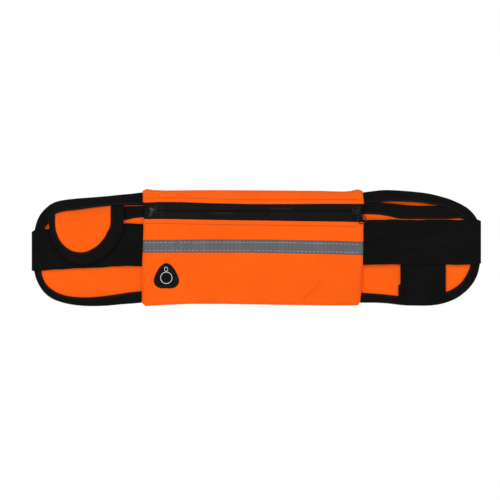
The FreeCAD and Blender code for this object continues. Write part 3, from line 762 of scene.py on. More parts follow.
right_window = [
    (102.5, 43.9), (111.3, 44.1),
    (118.0, 44.4), (128.0, 45.1), (138.0, 45.9), (148.0, 45.8), (158.0, 45.4), (168.0, 44.6), (178.0, 43.2),
    (187.0, 41.4), (195.0, 38.9), (203.0, 35.4), (212.0, 29.2), (216.6, 20.5), (218.6, 8.0), (219.0, -6.0),
    (218.4, -16.0), (217.0, -21.5), (213.7, -28.2), (208.9, -35.2), (203.5, -39.8), (197.0, -43.5),
    (190.5, -45.8), (177.0, -48.6), (163.0, -49.4), (148.0, -49.0), (137.8, -47.9), (127.8, -46.9), (119.8, -46.4),
    (111.3, -45.7), (102.5, -45.3)]
l_mouth_top = [(-104.0, 41.3), (-111.9, 41.2), (-128.0, 40.9), (-150.0, 40.3), (-176.0, 38.0), (-196.0, 34.0), (-230.0, 28.0)]
l_mouth_low = [(-104.0, 30.5), (-111.9, 29.9), (-120.0, 29.0), (-126.5, 27.4), (-132.0, 26.6), (-150.0, 26.5), (-176.0, 27.0), (-200.0, 26.5), (-230.0, 20.0)]
r_mouth_top = [(102.5, 46.2), (111.3, 46.0), (118.0, 45.3), (124.5, 44.9), (131.0, 44.4), (138.0, 44.1), (148.0, 43.0), (158.0, 42.0), (168.0, 41.6), (178.0, 41.6), (188.0, 41.3), (200.0, 37.5), (240.0, 26.0)]
r_mouth_low = [(102.5, 33.2), (111.3, 33.1), (120.0, 33.1), (128.0, 32.5), (138.0, 30.8), (146.0, 28.9), (154.0, 28.5), (196.0, 28.5), (207.0, 29.3), (240.0, 20.0)]
LEFT_TIP, RIGHT_TIP = (-217.2, -2.9), (224.0, -3.4)


# --------------------------------------------------------- surfaces, y in mm
def groove(P, line, depth, width):
    return depth * np.exp(-(dist(P, line, closed=False) / width) ** 2)


def z_lower_stitch(x):
    return z_low(x) - 4.6


def z_upper_stitch(x):
    return z_top(x) + 4.3


XS = np.linspace(-107, 106.5, 90)
low_stitch = np.c_[XS, z_lower_stitch(XS)]
up_stitch = np.c_[XS, z_upper_stitch(XS)]
SIM = {}


def swell(P):
    """How far the pouch's front panel stands out beyond its flat level, in mm."""
    x, z = P[:, 0], P[:, 1]
    d = dist(P, pouch_line)
    dz = np.minimum(np.abs(z - z_low(x)), np.abs(z - z_top(x)))
    body = smooth(d / 26) * smooth(dz / 16)
    out = (1.3 if "pouch" not in SIM else 0.25) * body
    out += body * 0.30 * waves(P, 5, 7, 45, 110, (1.3, 1))
    # one long soft crease across the lower right, and two fainter ones
    for (ax, az, bx, bz, amp, wid) in ((38, -62.2, 76, -26, 0.95, 1.15), (52, -53, 92, -23, 0.40, 3.0), (-60, -50, -46, -22, 0.25, 4.0), (8, -50, 30, -34, 0.22, 4.5)):
        a, b = np.array([ax, az], float), np.array([bx, bz], float)
        t = np.clip(((P - a) @ (b - a)) / ((b - a) @ (b - a)), 0, 1)
        q = P - (a + t[:, None] * (b - a))
        side = q[:, 0] * (b - a)[1] - q[:, 1] * (b - a)[0]
        r = np.linalg.norm(q, axis=1) * np.sign(side)
        fade = np.sin(np.pi * np.clip(t, 0.02, 0.98)) * smooth(d / 6)
        out += amp * fade * (np.exp(-(r / wid) ** 2) - 0.7 * np.exp(-((r - 1.6 * wid) / wid) ** 2))
    if "pouch" in SIM:
        out += SIM["pouch"](P)
    return out


def puckers(P, line, seed, amp, reach=6.0, pitch=9.0):
    """Small gathers that run square to a stitched line and fade within reach."""
    d = dist(P, line, closed=False)
    r = np.random.RandomState(seed)
    s = P[:, 0]
    w = np.sin(2 * np.pi * s / pitch + 3 * np.sin(s / 21 + r.rand() * 6)) + 0.6 * np.sin(2 * np.pi * s / (pitch * 0.61) + r.rand() * 6)
    return amp * w * np.exp(-d / reach)


def pouch_front(P):
    """The front face of the pouch's orange panels."""
    d = dist(P, pouch_line)
    y = -2.4 - 8.0 * arc(d, 3.4)
    y -= swell(P)
    y += groove(P, low_stitch, 0.42, 0.8) + groove(P, up_stitch, 0.42, 0.8)
    y += puckers(P, low_stitch, 3, 0.09) * smooth(d / 5) + puckers(P, up_stitch, 4, 0.09) * smooth(d / 4)
    # the tape's two seams hold the panel down a little
    for zz, sd in ((4.9, 8), (-3.3, 9)):
        ln = np.c_[XS, np.interp(XS, [-107, 20, 107], [zz, zz + 0.3, zz - 1.3])]
        y += groove(P, ln, 0.25, 1.6) + puckers(P, ln, sd, 0.08, 8.0, 11.0) * smooth(d / 5)
    e = np.exp(-(d / 5.0)) * smooth(d / 1.2)
    y += 0.16 * e * np.sin(P[:, 0] / 2.3 + 2 * np.sin(P[:, 0] / 17)) * (np.abs(P[:, 1]) > 40)
    y += 0.20 * e * np.sin(P[:, 1] / 2.6 + 2 * np.sin(P[:, 1] / 13)) * (np.abs(P[:, 0]) > 100)
    return y


def low_panel_front(P):
    dz = np.abs(P[:, 1] - z_low(P[:, 0]))
    return pouch_front(P) + 0.55 * (1 - arc(dz, 0.9))


def panel_back(P):
    d = dist(P, pouch_line)
    return np.maximum(pouch_front(P) + 2.0, -2.4 - 6.0 * arc(np.maximum(d - 1.5, 0), 3.4)) * (d > 0.05) + -2.4 * (d <= 0.05)


def top_panel_front(P):
    dz = np.abs(P[:, 1] - z_top(P[:, 0]))
    return pouch_front(P) + 0.55 * (1 - arc(dz, 0.9))


def add_tex(ob, coords=None, ed=None):
    me = ob.data
    if coords is None:
        coords = np.array([v.co for v in me.vertices], np.float32) / MM
    a = me.attributes.get("tex") or me.attributes.new("tex", "FLOAT_VECTOR", "POINT")
    a.data.foreach_set("vector", np.asarray(coords, np.float32).ravel())
    if ed is not None:
        b = me.attributes.get("ed") or me.attributes.new("ed", "FLOAT", "POINT")
        b.data.foreach_set("value", np.asarray(ed, np.float32))
    return ob


ALL = []


def place(ob, body=None, cad=()):
    """Sets the piece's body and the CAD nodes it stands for."""
    if ob.data.attributes.get("tex") is None:
        add_tex(ob)
    if body:
        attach(ob, body)
    else:
        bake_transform(ob)
    if cad:
        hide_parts(*cad)
    ALL.append(ob)
    return ob


def poly_area(L):
    L = np.asarray(L)
    x, z = L[:, 0], L[:, 1]
    return abs((x * np.roll(z, -1) - z * np.roll(x, -1)).sum()) / 2


def declare(region, extra=0.0):
    """Works out the width, length and flat area of a sheet cut to the region's outline, extra mm wider all round where
    it turns an edge; the results are not kept.
    """
    R = np.asarray(region)
    w, l = np.maximum(R.max(0) - R.min(0) + 2 * extra, 10.2)
    per = np.linalg.norm(R - np.roll(R, -1, 0), axis=1).sum()
    area = min(poly_area(R) + per * extra, w * l)
    area = max(area, 0.31 * w * l)


# ---------------------------------------------------------- cloth simulation
def cloth_swell(tag, loops, pinned, height, slack=0.010, step=3.4, seed=1):
    """Lets a sheet of the region's size fill out under light pressure, held at its seams, and gives the
    stand-out in mm as a function of (x, z). The sheet is ten times full size while it moves, which is steadier."""
    V, F, rim = triangulate([densify(L, step * 0.9) for L in loops], (), step)
    S = 0.01
    me = bpy.data.meshes.new("sim_" + tag)
    y0 = 0.02 * waves(V, seed, 8, 9, 30)
    me.from_pydata(np.c_[V[:, 0] * S, y0 * S, V[:, 1] * S].tolist(), [], F.tolist())
    me.update()
    ob = bpy.data.objects.new("sim_" + tag, me)
    COL.objects.link(ob)
    g = ob.vertex_groups.new(name="pin")
    hold = rim | pinned(V)
    g.add([int(i) for i in np.where(hold)[0]], 1.0, "REPLACE")
    md = ob.modifiers.new("cloth", "CLOTH")
    c = md.settings
    c.quality, c.mass = 6, 0.25
    c.tension_stiffness, c.compression_stiffness, c.shear_stiffness, c.bending_stiffness = 14, 9, 6, 0.35
    c.air_damping = 2.0
    c.vertex_group_mass = "pin"
    c.pin_stiffness = 1.0
    c.shrink_min = -slack
    c.use_pressure = True
    c.uniform_pressure_force = 1.1
    c.effector_weights.gravity = 0.0
    md.collision_settings.use_collision = False
    md.point_cache.frame_start, md.point_cache.frame_end = 1, 22
    n = np.array([p.normal for p in me.polygons]).mean(0)
    sc = bpy.context.scene
    for f in range(1, 23):
        sc.frame_set(f)
    ev = ob.evaluated_get(bpy.context.evaluated_depsgraph_get()).to_mesh()
    co = np.zeros(len(ev.vertices) * 3)
    ev.vertices.foreach_get("co", co)
    co = co.reshape(-1, 3) / S
    out = co[:, 1] - y0
    bpy.data.objects.remove(ob)
    bpy.data.meshes.remove(me)
    sc.frame_set(1)
    if not np.isfinite(out).all() or np.abs(out).max() < 1e-4:
        print("SIM", tag, "gave nothing")
        return lambda P: np.zeros(len(P))
    out = np.abs(out)
    top = np.percentile(out, 97)
    out = np.minimum(out * height / top, 1.25 * height)
    print("SIM", tag, "vertices", len(V), "raw 97th percentile mm", round(float(top), 2))
    tree = KDTree(len(V))
    for i, p in enumerate(V):
        tree.insert((p[0], p[1], 0), i)
    tree.balance()

    def f(P):
        res = np.zeros(len(P))
        for i, (x, z) in enumerate(P):
            near = tree.find_n((x, z, 0), 6)
            w = np.array([1.0 / (q[2] ** 2 + 0.6) for q in near])
            res[i] = (w * out[[q[1] for q in near]]).sum() / w.sum()
        return res
    return f


def seams(V):
    x, z = V[:, 0], V[:, 1]
    t, b = np.interp(x, *tape_top.T), np.interp(x, *tape_low.T)
    return ((z < t + 0.6) & (z > b - 0.6)) | (np.hypot(x + 86.5, z + 30) < 12) | (z > z_low(x) - 5.4)

f1 = cloth_swell("pouch", [clip_loop(pouch_line, lambda P: z_low(P[:, 0]) - P[:, 1])], seams, 1.5, seed=21)
SIM["pouch"] = lambda P: np.where(P[:, 1] < z_low(P[:, 0]), f1(P), 0.0)
for nm, OLp, mouth, bz, sd in (("left", left_window, l_mouth_low, (-22.5, 23.0), 23), ("right", right_window, r_mouth_low, (-17.4, 27.6), 25)):
    W = densify(cubic(OLp, step=2.0), 2.5)
    L = np.array(mouth)
    L = L[np.argsort(L[:, 0])]
    W = clip_loop(W, lambda P: np.interp(P[:, 0], L[:, 0], L[:, 1]) - P[:, 1])
    strapx = (lambda V: (V[:, 0] > 145.0) & (V[:, 0] < 194.0)) if nm == "right" else (lambda V: V[:, 0] > 1e9)
    SIM[nm + "_front"] = (lambda fn: (lambda P: -fn(P)))(cloth_swell(nm, [W], (lambda bz, sx: lambda V: ((V[:, 1] > bz[0]) & (V[:, 1] < bz[1])) | sx(V))(bz, strapx), 0.9, seed=sd))


# --------------------------------------------------------------- pouch pieces
def y_const(v):
    return lambda P: np.full(len(P), float(v))


e4 = [pouch_line[:, 0].min() + 9.0, pouch_line[:, 0].max() - 9.0, pouch_line[:, 1].min() + 9.0, pouch_line[:, 1].max() - 9.0]
REAR = [[(e4[0], e4[2]), (e4[1], e4[2])], [(e4[0], e4[3]), (e4[1], e4[3])], [(e4[0], e4[2] + 3), (e4[0], e4[3] - 3)], [(e4[1], e4[2] + 3), (e4[1], e4[3] - 3)]]


def pouch_rear(P):
    """The flat back: softly wavy inside its line of stitching, plain over the ends of the wings."""
    d = dist(P, pouch_line)
    return -1.2 + 1.2 * arc(d, 1.6) - 0.30 * smooth((d - 8) / 14) * (0.5 - 0.5 * waves(P, 91, 6, 26, 70)) - 0.34 * np.exp(-((d - 9.0) / 0.9) ** 2) - \
        0.10 * np.exp(-((d - 11.0) / 3.0) ** 2) * (1 + np.sin((P[:, 0] + 1.3 * P[:, 1]) / 1.3))


back = pillow("pouch_back", [pouch_line], lambda P: np.full(len(P), -2.4),
              pouch_rear, MAT["orange"], step=3.2, lines=[np.array(q) for q in REAR])
place(back, "pouch", ["pouch_back_panel"])

bx0, bx1, bz0, bz1 = pouch_line[:, 0].min() + 9.0, pouch_line[:, 0].max() - 9.0, pouch_line[:, 1].min() + 9.0, pouch_line[:, 1].max() - 9.0
bs_line = rounded_poly([(bx0, bz1, 4.0), (bx1, bz1, 4.0), (bx1, bz0, 4.0), (bx0, bz0, 4.0)], 2.0)
bs_line = np.vstack([bs_line, bs_line[:1]])
ob = stitches("pouch_back_topstitches", [bs_line], lambda P: pouch_rear(P), MAT["thread_orange"], pitch=3.2, length=2.3, r=0.26, side=1, sink=0.0, seed=17)
place(ob, "pouch", ())

low_region = clip_loop(pouch_line, lambda P: z_low(P[:, 0]) - P[:, 1])
top_region = clip_loop(pouch_line, lambda P: P[:, 1] - z_top(P[:, 0]))
low_region = loop(*[straight([a, b], 1.6) for a, b in zip(low_region, np.roll(low_region, -1, 0))])
top_region = loop(*[straight([a, b], 1.6) for a, b in zip(top_region, np.roll(top_region, -1, 0))])
# their cut edges follow the zip's wavy lines
for R, f in ((low_region, z_low), (top_region, z_top)):
    cut = (dist(R, pouch_line) > 0.3) & (np.abs(R[:, 1] - f(R[:, 0])) < 2.5)
    R[cut, 1] = f(R[cut, 0])
ang = np.linspace(0, 2 * math.pi, 28, endpoint=False)
port_hole = np.c_[PORT_X + 2.8 * np.cos(ang), PORT_Z + 2.8 * np.sin(ang)]

front_low = pillow("pouch_front", [low_region, port_hole], low_panel_front, panel_back, MAT["orange"], step=2.2,
                   lines=[low_stitch, np.array([(38.0, -62.2), (76.0, -26.0)])])
place(front_low, "pouch", ["pouch_front_panel"])
front_top = pillow("pouch_top", [top_region], top_panel_front, panel_back, MAT["orange"], step=1.8, lines=[up_stitch])
place(front_top, "pouch", ["pouch_top_panel"])


# zip tapes: flat coated strips with a crease at their left end
def zip_front(P):
    x, z = P[:, 0], P[:, 1]
    d = dist(P, pouch_line)
    y = np.full(len(P), -10.0)
    y += 0.10 * np.sin(x / 13 + 1.3 * np.sin(x / 29)) + 0.06 * np.sin(x / 5.1 + z / 4)
    y -= 0.35 * np.exp(-((z - (z_top(x) - 3.6)) / 1.8) ** 2) * (z > ZIP_Z)
    y -= 0.35 * np.exp(-((z - (z_low(x) + 3.8)) / 1.8) ** 2) * (z < ZIP_Z)
    # the folded end
    u = (x + 102.6) + 0.10 * (z - ZIP_Z)
    y -= 1.0 * np.exp(-(u / 1.3) ** 2) - 0.5 * np.exp(-((u - 3.2) / 1.3) ** 2)
    v = 0.60 * (x + 101.0) + 0.80 * (z - 38.0)
    y -= 0.75 * np.exp(-(v / 1.15) ** 2) * np.exp(-((x + 100.5) / 4.0) ** 2)
    y -= 0.55 * np.exp(-(((x + 102.2) - 0.20 * (z - 33)) / 0.9) ** 2) * smooth((36.5 - z) / 4)
    y += 0.11 * np.sin(x / 1.35) * smooth((x + 104) / 5) * np.exp(-np.maximum(x + 97, 0) / 11)
    y += 1.1 * (1 - smooth((x + 110.2) / 5))
    y += 0.5 * np.exp(-((x + 45) / 3.5) ** 2) * 0.5
    # tapes dip towards the slit and round off there
    dz = np.abs(z - ZIP_Z)
    y += 0.35 * (1 - smooth((dz - 0.5) / 1.6))
    y = np.maximum(y, -2.4 - 8.0 * arc(d, 3.4) + 0.15)
    return y


def zip_region(upper):
    xs = np.linspace(-110.4, 110.0, 150)
    half = 0.24 - 0.21 * smooth((-98.4 - xs) / 1.5)            # sewn together past the stop
    if upper:
        L = np.vstack([np.c_[xs, ZIP_Z + half], np.c_[xs, z_top(xs) + 0.8][::-1]])
    else:
        L = np.vstack([np.c_[xs, z_low(xs) - 0.8], np.c_[xs, ZIP_Z - half][::-1]])
    L = L[inside(L, pouch_line)]
    return loop(*[straight([a, b], 1.5) for a, b in zip(L, np.roll(L, -1, 0))])


for up in (True, False):
    R = zip_region(up)
    nm = "zip_tape_upper" if up else "zip_tape_lower"
    ob = pillow(nm + "_cloth", [R], zip_front, lambda P: zip_front(P) + 0.8, MAT["tape"], rings=(0.12, 0.35, 0.8), step=0.9)
    co = np.array([v.co for v in ob.data.vertices])[:, [0, 2]] / MM
    # painted highlights: a lighter crease at the tape's left end and faint light streaks, stored in the attribute the
    # tape material reads
    painted_highlight_and_wear = np.zeros(len(co))
    for a, b, w, g in (((-101.6, 38.2), (-99.6, 37.2), 1.3, 0.40), ((-100.9, 36.2), (-102.8, 31.4), 0.9, 0.24), ((-97.0, 41.5), (-96.4, 34.5), 1.2, 0.05),
                       ((-91.5, 42.0), (-90.8, 31.0), 0.9, 0.03), ((-42.0, 34.2), (-20.0, 34.0), 0.8, 0.05), ((18.0, 38.6), (38.0, 38.2), 0.8, 0.05)):
        painted_highlight_and_wear = np.maximum(painted_highlight_and_wear, g * np.exp(-(dist(co, np.array([a, b]), closed=False) / w) ** 2))
    at = ob.data.attributes.new("painted_highlight_and_wear", "FLOAT", "POINT")
    at.data.foreach_set("value", painted_highlight_and_wear)
    place(ob, "pouch", [nm])
    declare(R)

# shade strip: a thin dark strip behind the slide, sewn to the inside of both panels; a dark sheet that stands in for
# the shade inside the pouch, seen through the zip's slit
def shade_strip_front(P):
    e = np.minimum(P[:, 1] - (z_low(P[:, 0]) - 3.0), z_top(P[:, 0]) + 3.0 - P[:, 1])
    top = panel_back(P) + 0.15
    return top + (-5.5 - top) * smooth((e - 2.4) / 3.0)


xs = np.linspace(-99.0, 99.0, 90)
G = np.vstack([np.c_[xs, z_low(xs) - 3.0], np.c_[xs, z_top(xs) + 3.0][::-1]])
G = loop(*[straight([a, b], 2.2) for a, b in zip(G, np.roll(G, -1, 0))])
ob = pillow("zip_slit_shade_strip", [G], shade_strip_front, lambda P: shade_strip_front(P) + 0.45, MAT["tape"], rings=(0.2, 0.6), step=2.0)
place(ob, "pouch", ())
declare(G)

for nm, zc in (("zip_coil_upper", ZIP_Z + 0.96), ("zip_coil_lower", ZIP_Z - 0.96)):
    s = np.arange(0, 204.2, 0.11)
    ph = 2 * math.pi * s / 1.1 + (0 if zc > ZIP_Z else math.pi)
    sg = 1 if zc > ZIP_Z else -1
    path = np.c_[-96.6 + s, -8.5 + 0.46 * np.sin(ph), zc + 0.56 * np.cos(ph)]
    cord = np.c_[np.linspace(-98.0, 109.0, 60), np.full(60, -8.5), np.full(60, zc)]
    ob = tube(nm + "_wire", path, 0.2, MAT["coil"], n=6)
    cd = tube(nm + "_cord", cord, 0.36, MAT["coil"], n=8)
    place(cd, "pouch", ())
    place(ob, "pouch", [nm])


# reflective tape
def tape_out(P):
    return pouch_front(P) - 0.35 - 0.10 * np.sin(P[:, 0] / 9 + np.sin(P[:, 0] / 23))


cx = pouch_line.mean(0)
R = straight([*tape_region, tape_region[0]], 0.8)[:-1]
keep = inside(R, pouch_line) & (dist(R, pouch_line) > 0.35)
R = densify(R[keep], 1.6)
tp = pillow("reflective_tape_strip", [R], tape_out, lambda P: pouch_front(P) + 0.3, MAT["reflect"], rings=(0.12, 0.35, 0.8), step=1.9)
co = np.array([v.co for v in tp.data.vertices]) / MM
# painted highlights: light streaks across the tape where it is creased
painted_highlight_and_wear = np.zeros(len(co))
for q in ((-98.0, 2.2, 0.10), (-80.8, 0.8, 0.30), (-72.0, 1.4, 0.12), (-57.6, 0.9, 0.22), (-49.0, 1.0, 0.34), (-12.0, 3.0, 0.08), (28.0, 2.0, 0.10), (66.0, 4.0, 0.08)):
    painted_highlight_and_wear = np.maximum(painted_highlight_and_wear, q[2] * np.exp(-((co[:, 0] - q[0] + 0.08 * co[:, 2]) / q[1]) ** 2))
at = tp.data.attributes.new("painted_highlight_and_wear", "FLOAT", "POINT")
at.data.foreach_set("value", painted_highlight_and_wear)
# distance to the tape's edges, for the painted shade along them
zt, zb = np.interp(co[:, 0], *tape_top.T), np.interp(co[:, 0], *tape_low.T)
add_tex(tp, ed=np.minimum(zt - co[:, 2], co[:, 2] - zb))
place(tp, "pouch", ["reflective_tape"])
xs = np.linspace(-108.6, 109.6, 100)
zt, zb = np.interp(xs, *tape_top.T), np.interp(xs, *tape_low.T)
ts = stitches("tape_stitches", [np.c_[xs, zt - 2.7], np.c_[xs, zb + 2.1]], tape_out, MAT["thread_grey"], pitch=3.9, length=2.9, r=0.40, sink=0.0, seed=7, skip=0.03)
place(ts, "pouch")
st = stitches("zip_topstitches", [low_stitch, up_stitch], pouch_front, MAT["thread_orange"], pitch=3.1, length=2.2, r=0.28, sink=0.10, seed=3)
place(st, "pouch")
declare(R)
declare(low_region, extra=8.0)
declare(top_region, extra=5.0)
declare(pouch_line)


# moulded earphone port
def port_out(P):
    d = dist(P, port_line)
    r = np.hypot(P[:, 0] - PORT_X, P[:, 1] - PORT_Z)
    y = PORT_BASE - 1.25 * arc(d, 1.6)
    y += 0.28 * np.exp(-((d - 2.6) / 0.35) ** 2)              # sewing channel
    y -= 0.35 * np.exp(-((r - 5.8) / 1.1) ** 2)               # raised ring
    y += 0.35 * smooth((5.0 - r) / 1.2)                        # dish inside it
    y -= 0.30 * np.exp(-((r - 3.4) / 0.45) ** 2)               # lip of the hole
    r2 = np.hypot((P[:, 0] + 86.5) / 0.82, P[:, 1] + 21.95)
    y -= 0.25 * np.exp(-((r2 - 2.07) / 0.7) ** 2)
    return y


PORT_BASE = float(pouch_front(np.array([[PORT_X, PORT_Z]]))[0]) + 0.1
hole = np.c_[PORT_X + 2.5 * np.cos(ang), PORT_Z + 2.5 * np.sin(ang)]
pt = pillow("earphone_port_rubber", [port_line, hole], port_out, lambda P: np.full(len(P), PORT_BASE + 0.9), MAT["rubber"], rings=(0.1, 0.3, 0.6, 1.0, 1.5), step=0.7)
place(pt, "pouch", ["earphone_port"])


def ring_piece(name, c, r0, r1, surf, mat, sx=1.0, h=0.22, n=64):
    a = np.linspace(0, 2 * math.pi, n, endpoint=False)
    mid = (r0 + r1) / 2
    xy = np.c_[c[0] + sx * mid * np.cos(a), c[1] + mid * np.sin(a)]
    y = surf(xy)
    m = 10
    b = np.linspace(0, 2 * math.pi, m, endpoint=False)
    V = []
    for (x, z), yy, t in zip(xy, y, a):
        for q in b:
            rr = (r1 - r0) / 2 * math.cos(q)
            V.append((x + sx * rr * math.cos(t), yy + h * math.sin(q), z + rr * math.sin(t)))
    F = [(i * m + j, i * m + (j + 1) % m, ((i + 1) % n) * m + (j + 1) % m, ((i + 1) % n) * m + j) for i in range(n) for j in range(m)]
    return V, F


V1, F1 = ring_piece("a", (-86.3, PORT_Z), 5.42, 6.02, port_out, None)
V2, F2 = ring_piece("b", (-86.5, -21.95), 1.78, 2.36, port_out, None, sx=0.82, n=40)
mk = join_parts("earphone_port_ring", [(np.array(V1), F1), (np.array(V2), F2)], MAT["mark"])
place(mk, "pouch", ["earphone_port_mark"])
# soft petals that close round the earphone cable
for i in range(4):
    a = np.radians(np.linspace(90 * i + 2, 90 * i + 88, 12))
    L = np.vstack([[0.09 * math.cos(a.mean()), 0.09 * math.sin(a.mean())], np.c_[2.46 * np.cos(a), 2.46 * np.sin(a)]])
    L = densify(L + [PORT_X, PORT_Z], 0.4)
    pet = pillow("earphone_port_petal_%d" % (i + 1), [L], lambda P: PORT_BASE - 0.35 + 0.28 * (1 - np.hypot(P[:, 0] - PORT_X, P[:, 1] - PORT_Z) / 2.46),
                 lambda P: np.full(len(P), PORT_BASE + 0.25), MAT["rubber"], rings=(0.08, 0.2), step=0.45)
    place(pet, "pouch", ())
off_line = []
for p in port_line:
    c = np.array([-86.5, -29.5])
    off_line.append(c + (p - c) * (1 - 2.6 / np.linalg.norm(p - c)))
off_line = np.array(off_line + [off_line[0]])
ps = stitches("earphone_port_stitches", [off_line], port_out, MAT["thread_black"], pitch=2.1, length=1.4, r=0.2, sink=0.02, seed=5)
place(ps, "pouch")


# ------------------------------------------------------------ channel pieces
def match(outer, inner, n):
    """n stations: points on the outer line and, for each, a point on the inner line."""
    so = np.r_[0, np.cumsum(np.linalg.norm(np.diff(outer, axis=0), axis=1))]
    si = np.r_[0, np.cumsum(np.linalg.norm(np.diff(inner, axis=0), axis=1))]
    t = np.linspace(0, 1, n)
    O = np.c_[np.interp(t * so[-1], so, outer[:, 0]), np.interp(t * so[-1], so, outer[:, 1])]
    near = []
    for p in O:
        near.append(si[np.argmin(np.linalg.norm(inner - p, axis=1))] / si[-1])
    near = np.maximum.accumulate(np.array(near))
    f = 0.75 * near + 0.25 * t
    kern = np.ones(9) / 9
    g = np.r_[np.full(4, f[0]), f, np.full(4, f[-1])]
    f = np.convolve(g, kern, "valid")
    f = (f - f[0]) / (f[-1] - f[0])
    I = np.c_[np.interp(f * si[-1], si, inner[:, 0]), np.interp(f * si[-1], si, inner[:, 1])]
    return O, I, t * so[-1]


def channel(name, outer, inner, y_front, y_back, t, mat, step=1.9, wrinkle=0.12, seed=1, back_share=1.0, lift=None):
    """An edge binding: a strip folded round an edge. outer and inner are its lines on the front; y_front and y_back its two faces."""
    O, I, s = match(np.asarray(outer), np.asarray(inner), int(np.linalg.norm(np.diff(outer, axis=0), axis=1).sum() / step))
    n = len(O)
    D = O - I
    w = np.linalg.norm(D, axis=1)
    D /= w[:, None]
    R = (y_back - y_front) / 2
    ym = (y_back + y_front) / 2
    cols, texc = [], []
    us = [0.0, 0.06, 0.14, 0.3, 0.5, 0.7, 0.86, 1.0]
    arcs = np.linspace(-math.pi / 2, math.pi / 2, 11)

    def ring_at(i):
        L = max(w[i] - R, 0.5)
        Lb = L * back_share
        pr = [(u * L, y_front) for u in us]
        pr += [(L + R * math.cos(a), ym + R * math.sin(a)) for a in arcs[1:-1]]
        pr += [(L - u * Lb, y_back) for u in us]
        q = R - t
        pr += [(L - Lb - 0.05, y_back - t / 2)]
        pr += [(L - (1 - u) * Lb, y_back - t) for u in us]
        pr += [(L + q * math.cos(a), ym + q * math.sin(a)) for a in arcs[::-1][1:-1]]
        pr += [((1 - u) * L, y_front + t) for u in us]
        pr += [(-0.05, y_front + t / 2)]
        return pr

    m = len(ring_at(0))
    V, T, E = np.zeros((n, m, 3)), np.zeros((n, m, 3)), np.zeros((n, m))
    for i in range(n):
        pr = np.array(ring_at(i))
        V[i, :, 0] = I[i, 0] + D[i, 0] * pr[:, 0]
        V[i, :, 2] = I[i, 1] + D[i, 1] * pr[:, 0]
        V[i, :, 1] = pr[:, 1]
        g = np.r_[0, np.cumsum(np.linalg.norm(np.diff(pr, axis=0), axis=1))]
        T[i, :, 0], T[i, :, 1] = s[i], g
        E[i] = pr[:, 0]
    P = V[:, :, [0, 2]].reshape(-1, 2)
    ww = np.repeat(w, m)
    e = E.reshape(-1)
    free = smooth(e / 4.0) * smooth((ww - e) / 2.5 + 0.35)
    r = np.random.RandomState(seed)
    ss = np.repeat(s, m)
    wav = np.sin(ss / 3.1 + 2 * np.sin(ss / 19 + r.rand() * 6)) + 0.7 * np.sin(ss / 1.9 + 3 * np.sin(ss / 31 + r.rand() * 6))
    front = (V[:, :, 1].reshape(-1) < ym)
    off = -wrinkle * (0.5 + 0.5 * wav) * free * front
    # line of stitching close to the inner edge
    off += 0.16 * np.exp(-((e - 1.5) / 0.6) ** 2) * front
    V = V.reshape(-1, 3)
    V[:, 1] += off
    if lift:
        V[:, 1] += lift(V[:, 0], V[:, 2], e) * front
    F = []
    for i in range(n - 1):
        F += [(i * m + j, i * m + (j + 1) % m, (i + 1) * m + (j + 1) % m, (i + 1) * m + j) for j in range(m)]
    F += [tuple(range(m))[::-1], tuple((n - 1) * m + j for j in range(m))]
    ob = mesh_object(name, V, F, mat)
    add_tex(ob, T.reshape(-1, 3), E.reshape(-1))
    bm = bmesh.new()
    bm.from_mesh(ob.data)
    bmesh.ops.triangulate(bm, faces=[f for f in bm.faces if len(f.verts) > 4])
    bmesh.ops.recalc_face_normals(bm, faces=bm.faces)
    bm.to_mesh(ob.data)
    bm.free()
    pr = np.array(ring_at(n // 2))
    girth = np.linalg.norm(np.diff(pr[:2 * len(us) + 9], axis=0), axis=1).sum()
    ob["girth"], ob["length"] = float(girth), float(s[-1])
    seam = I + D * 1.5
    return ob, seam


def shift_in(line, d, n=None):
    """The open line moved by d mm towards its right-hand side."""
    L = cubic(line, step=1.8)
    t = np.gradient(L, axis=0)
    t /= np.linalg.norm(t, axis=1)[:, None]
    return L + np.c_[t[:, 1], -t[:, 0]] * d


def oriented_inset(line, d):
    a = shift_in(line, d)
    b = shift_in(line, -d)
    return a if np.abs(a[:, 0]).max() < np.abs(b[:, 0]).max() else b


LL, LW = cubic(left_line, step=1.5), cubic(left_window, step=1.5)
RL, RW = cubic(right_line, step=1.5), cubic(right_window, step=1.5)


def wing_surface(base, line, seed, amp):
    def f(P):
        d = dist(P, line, closed=False)
        return base - amp * smooth(d / 9) * (0.55 + 0.45 * waves(P, seed, 6, 22, 60)) + puckers(P, line, seed + 1, 0.10, 5.0, 8.0)
    return f


def clip_below(R, line):
    L = np.array(line)
    o = np.argsort(L[:, 0])
    L = L[o]
    return clip_loop(R, lambda P: np.interp(P[:, 0], L[:, 0], L[:, 1]) - P[:, 1])


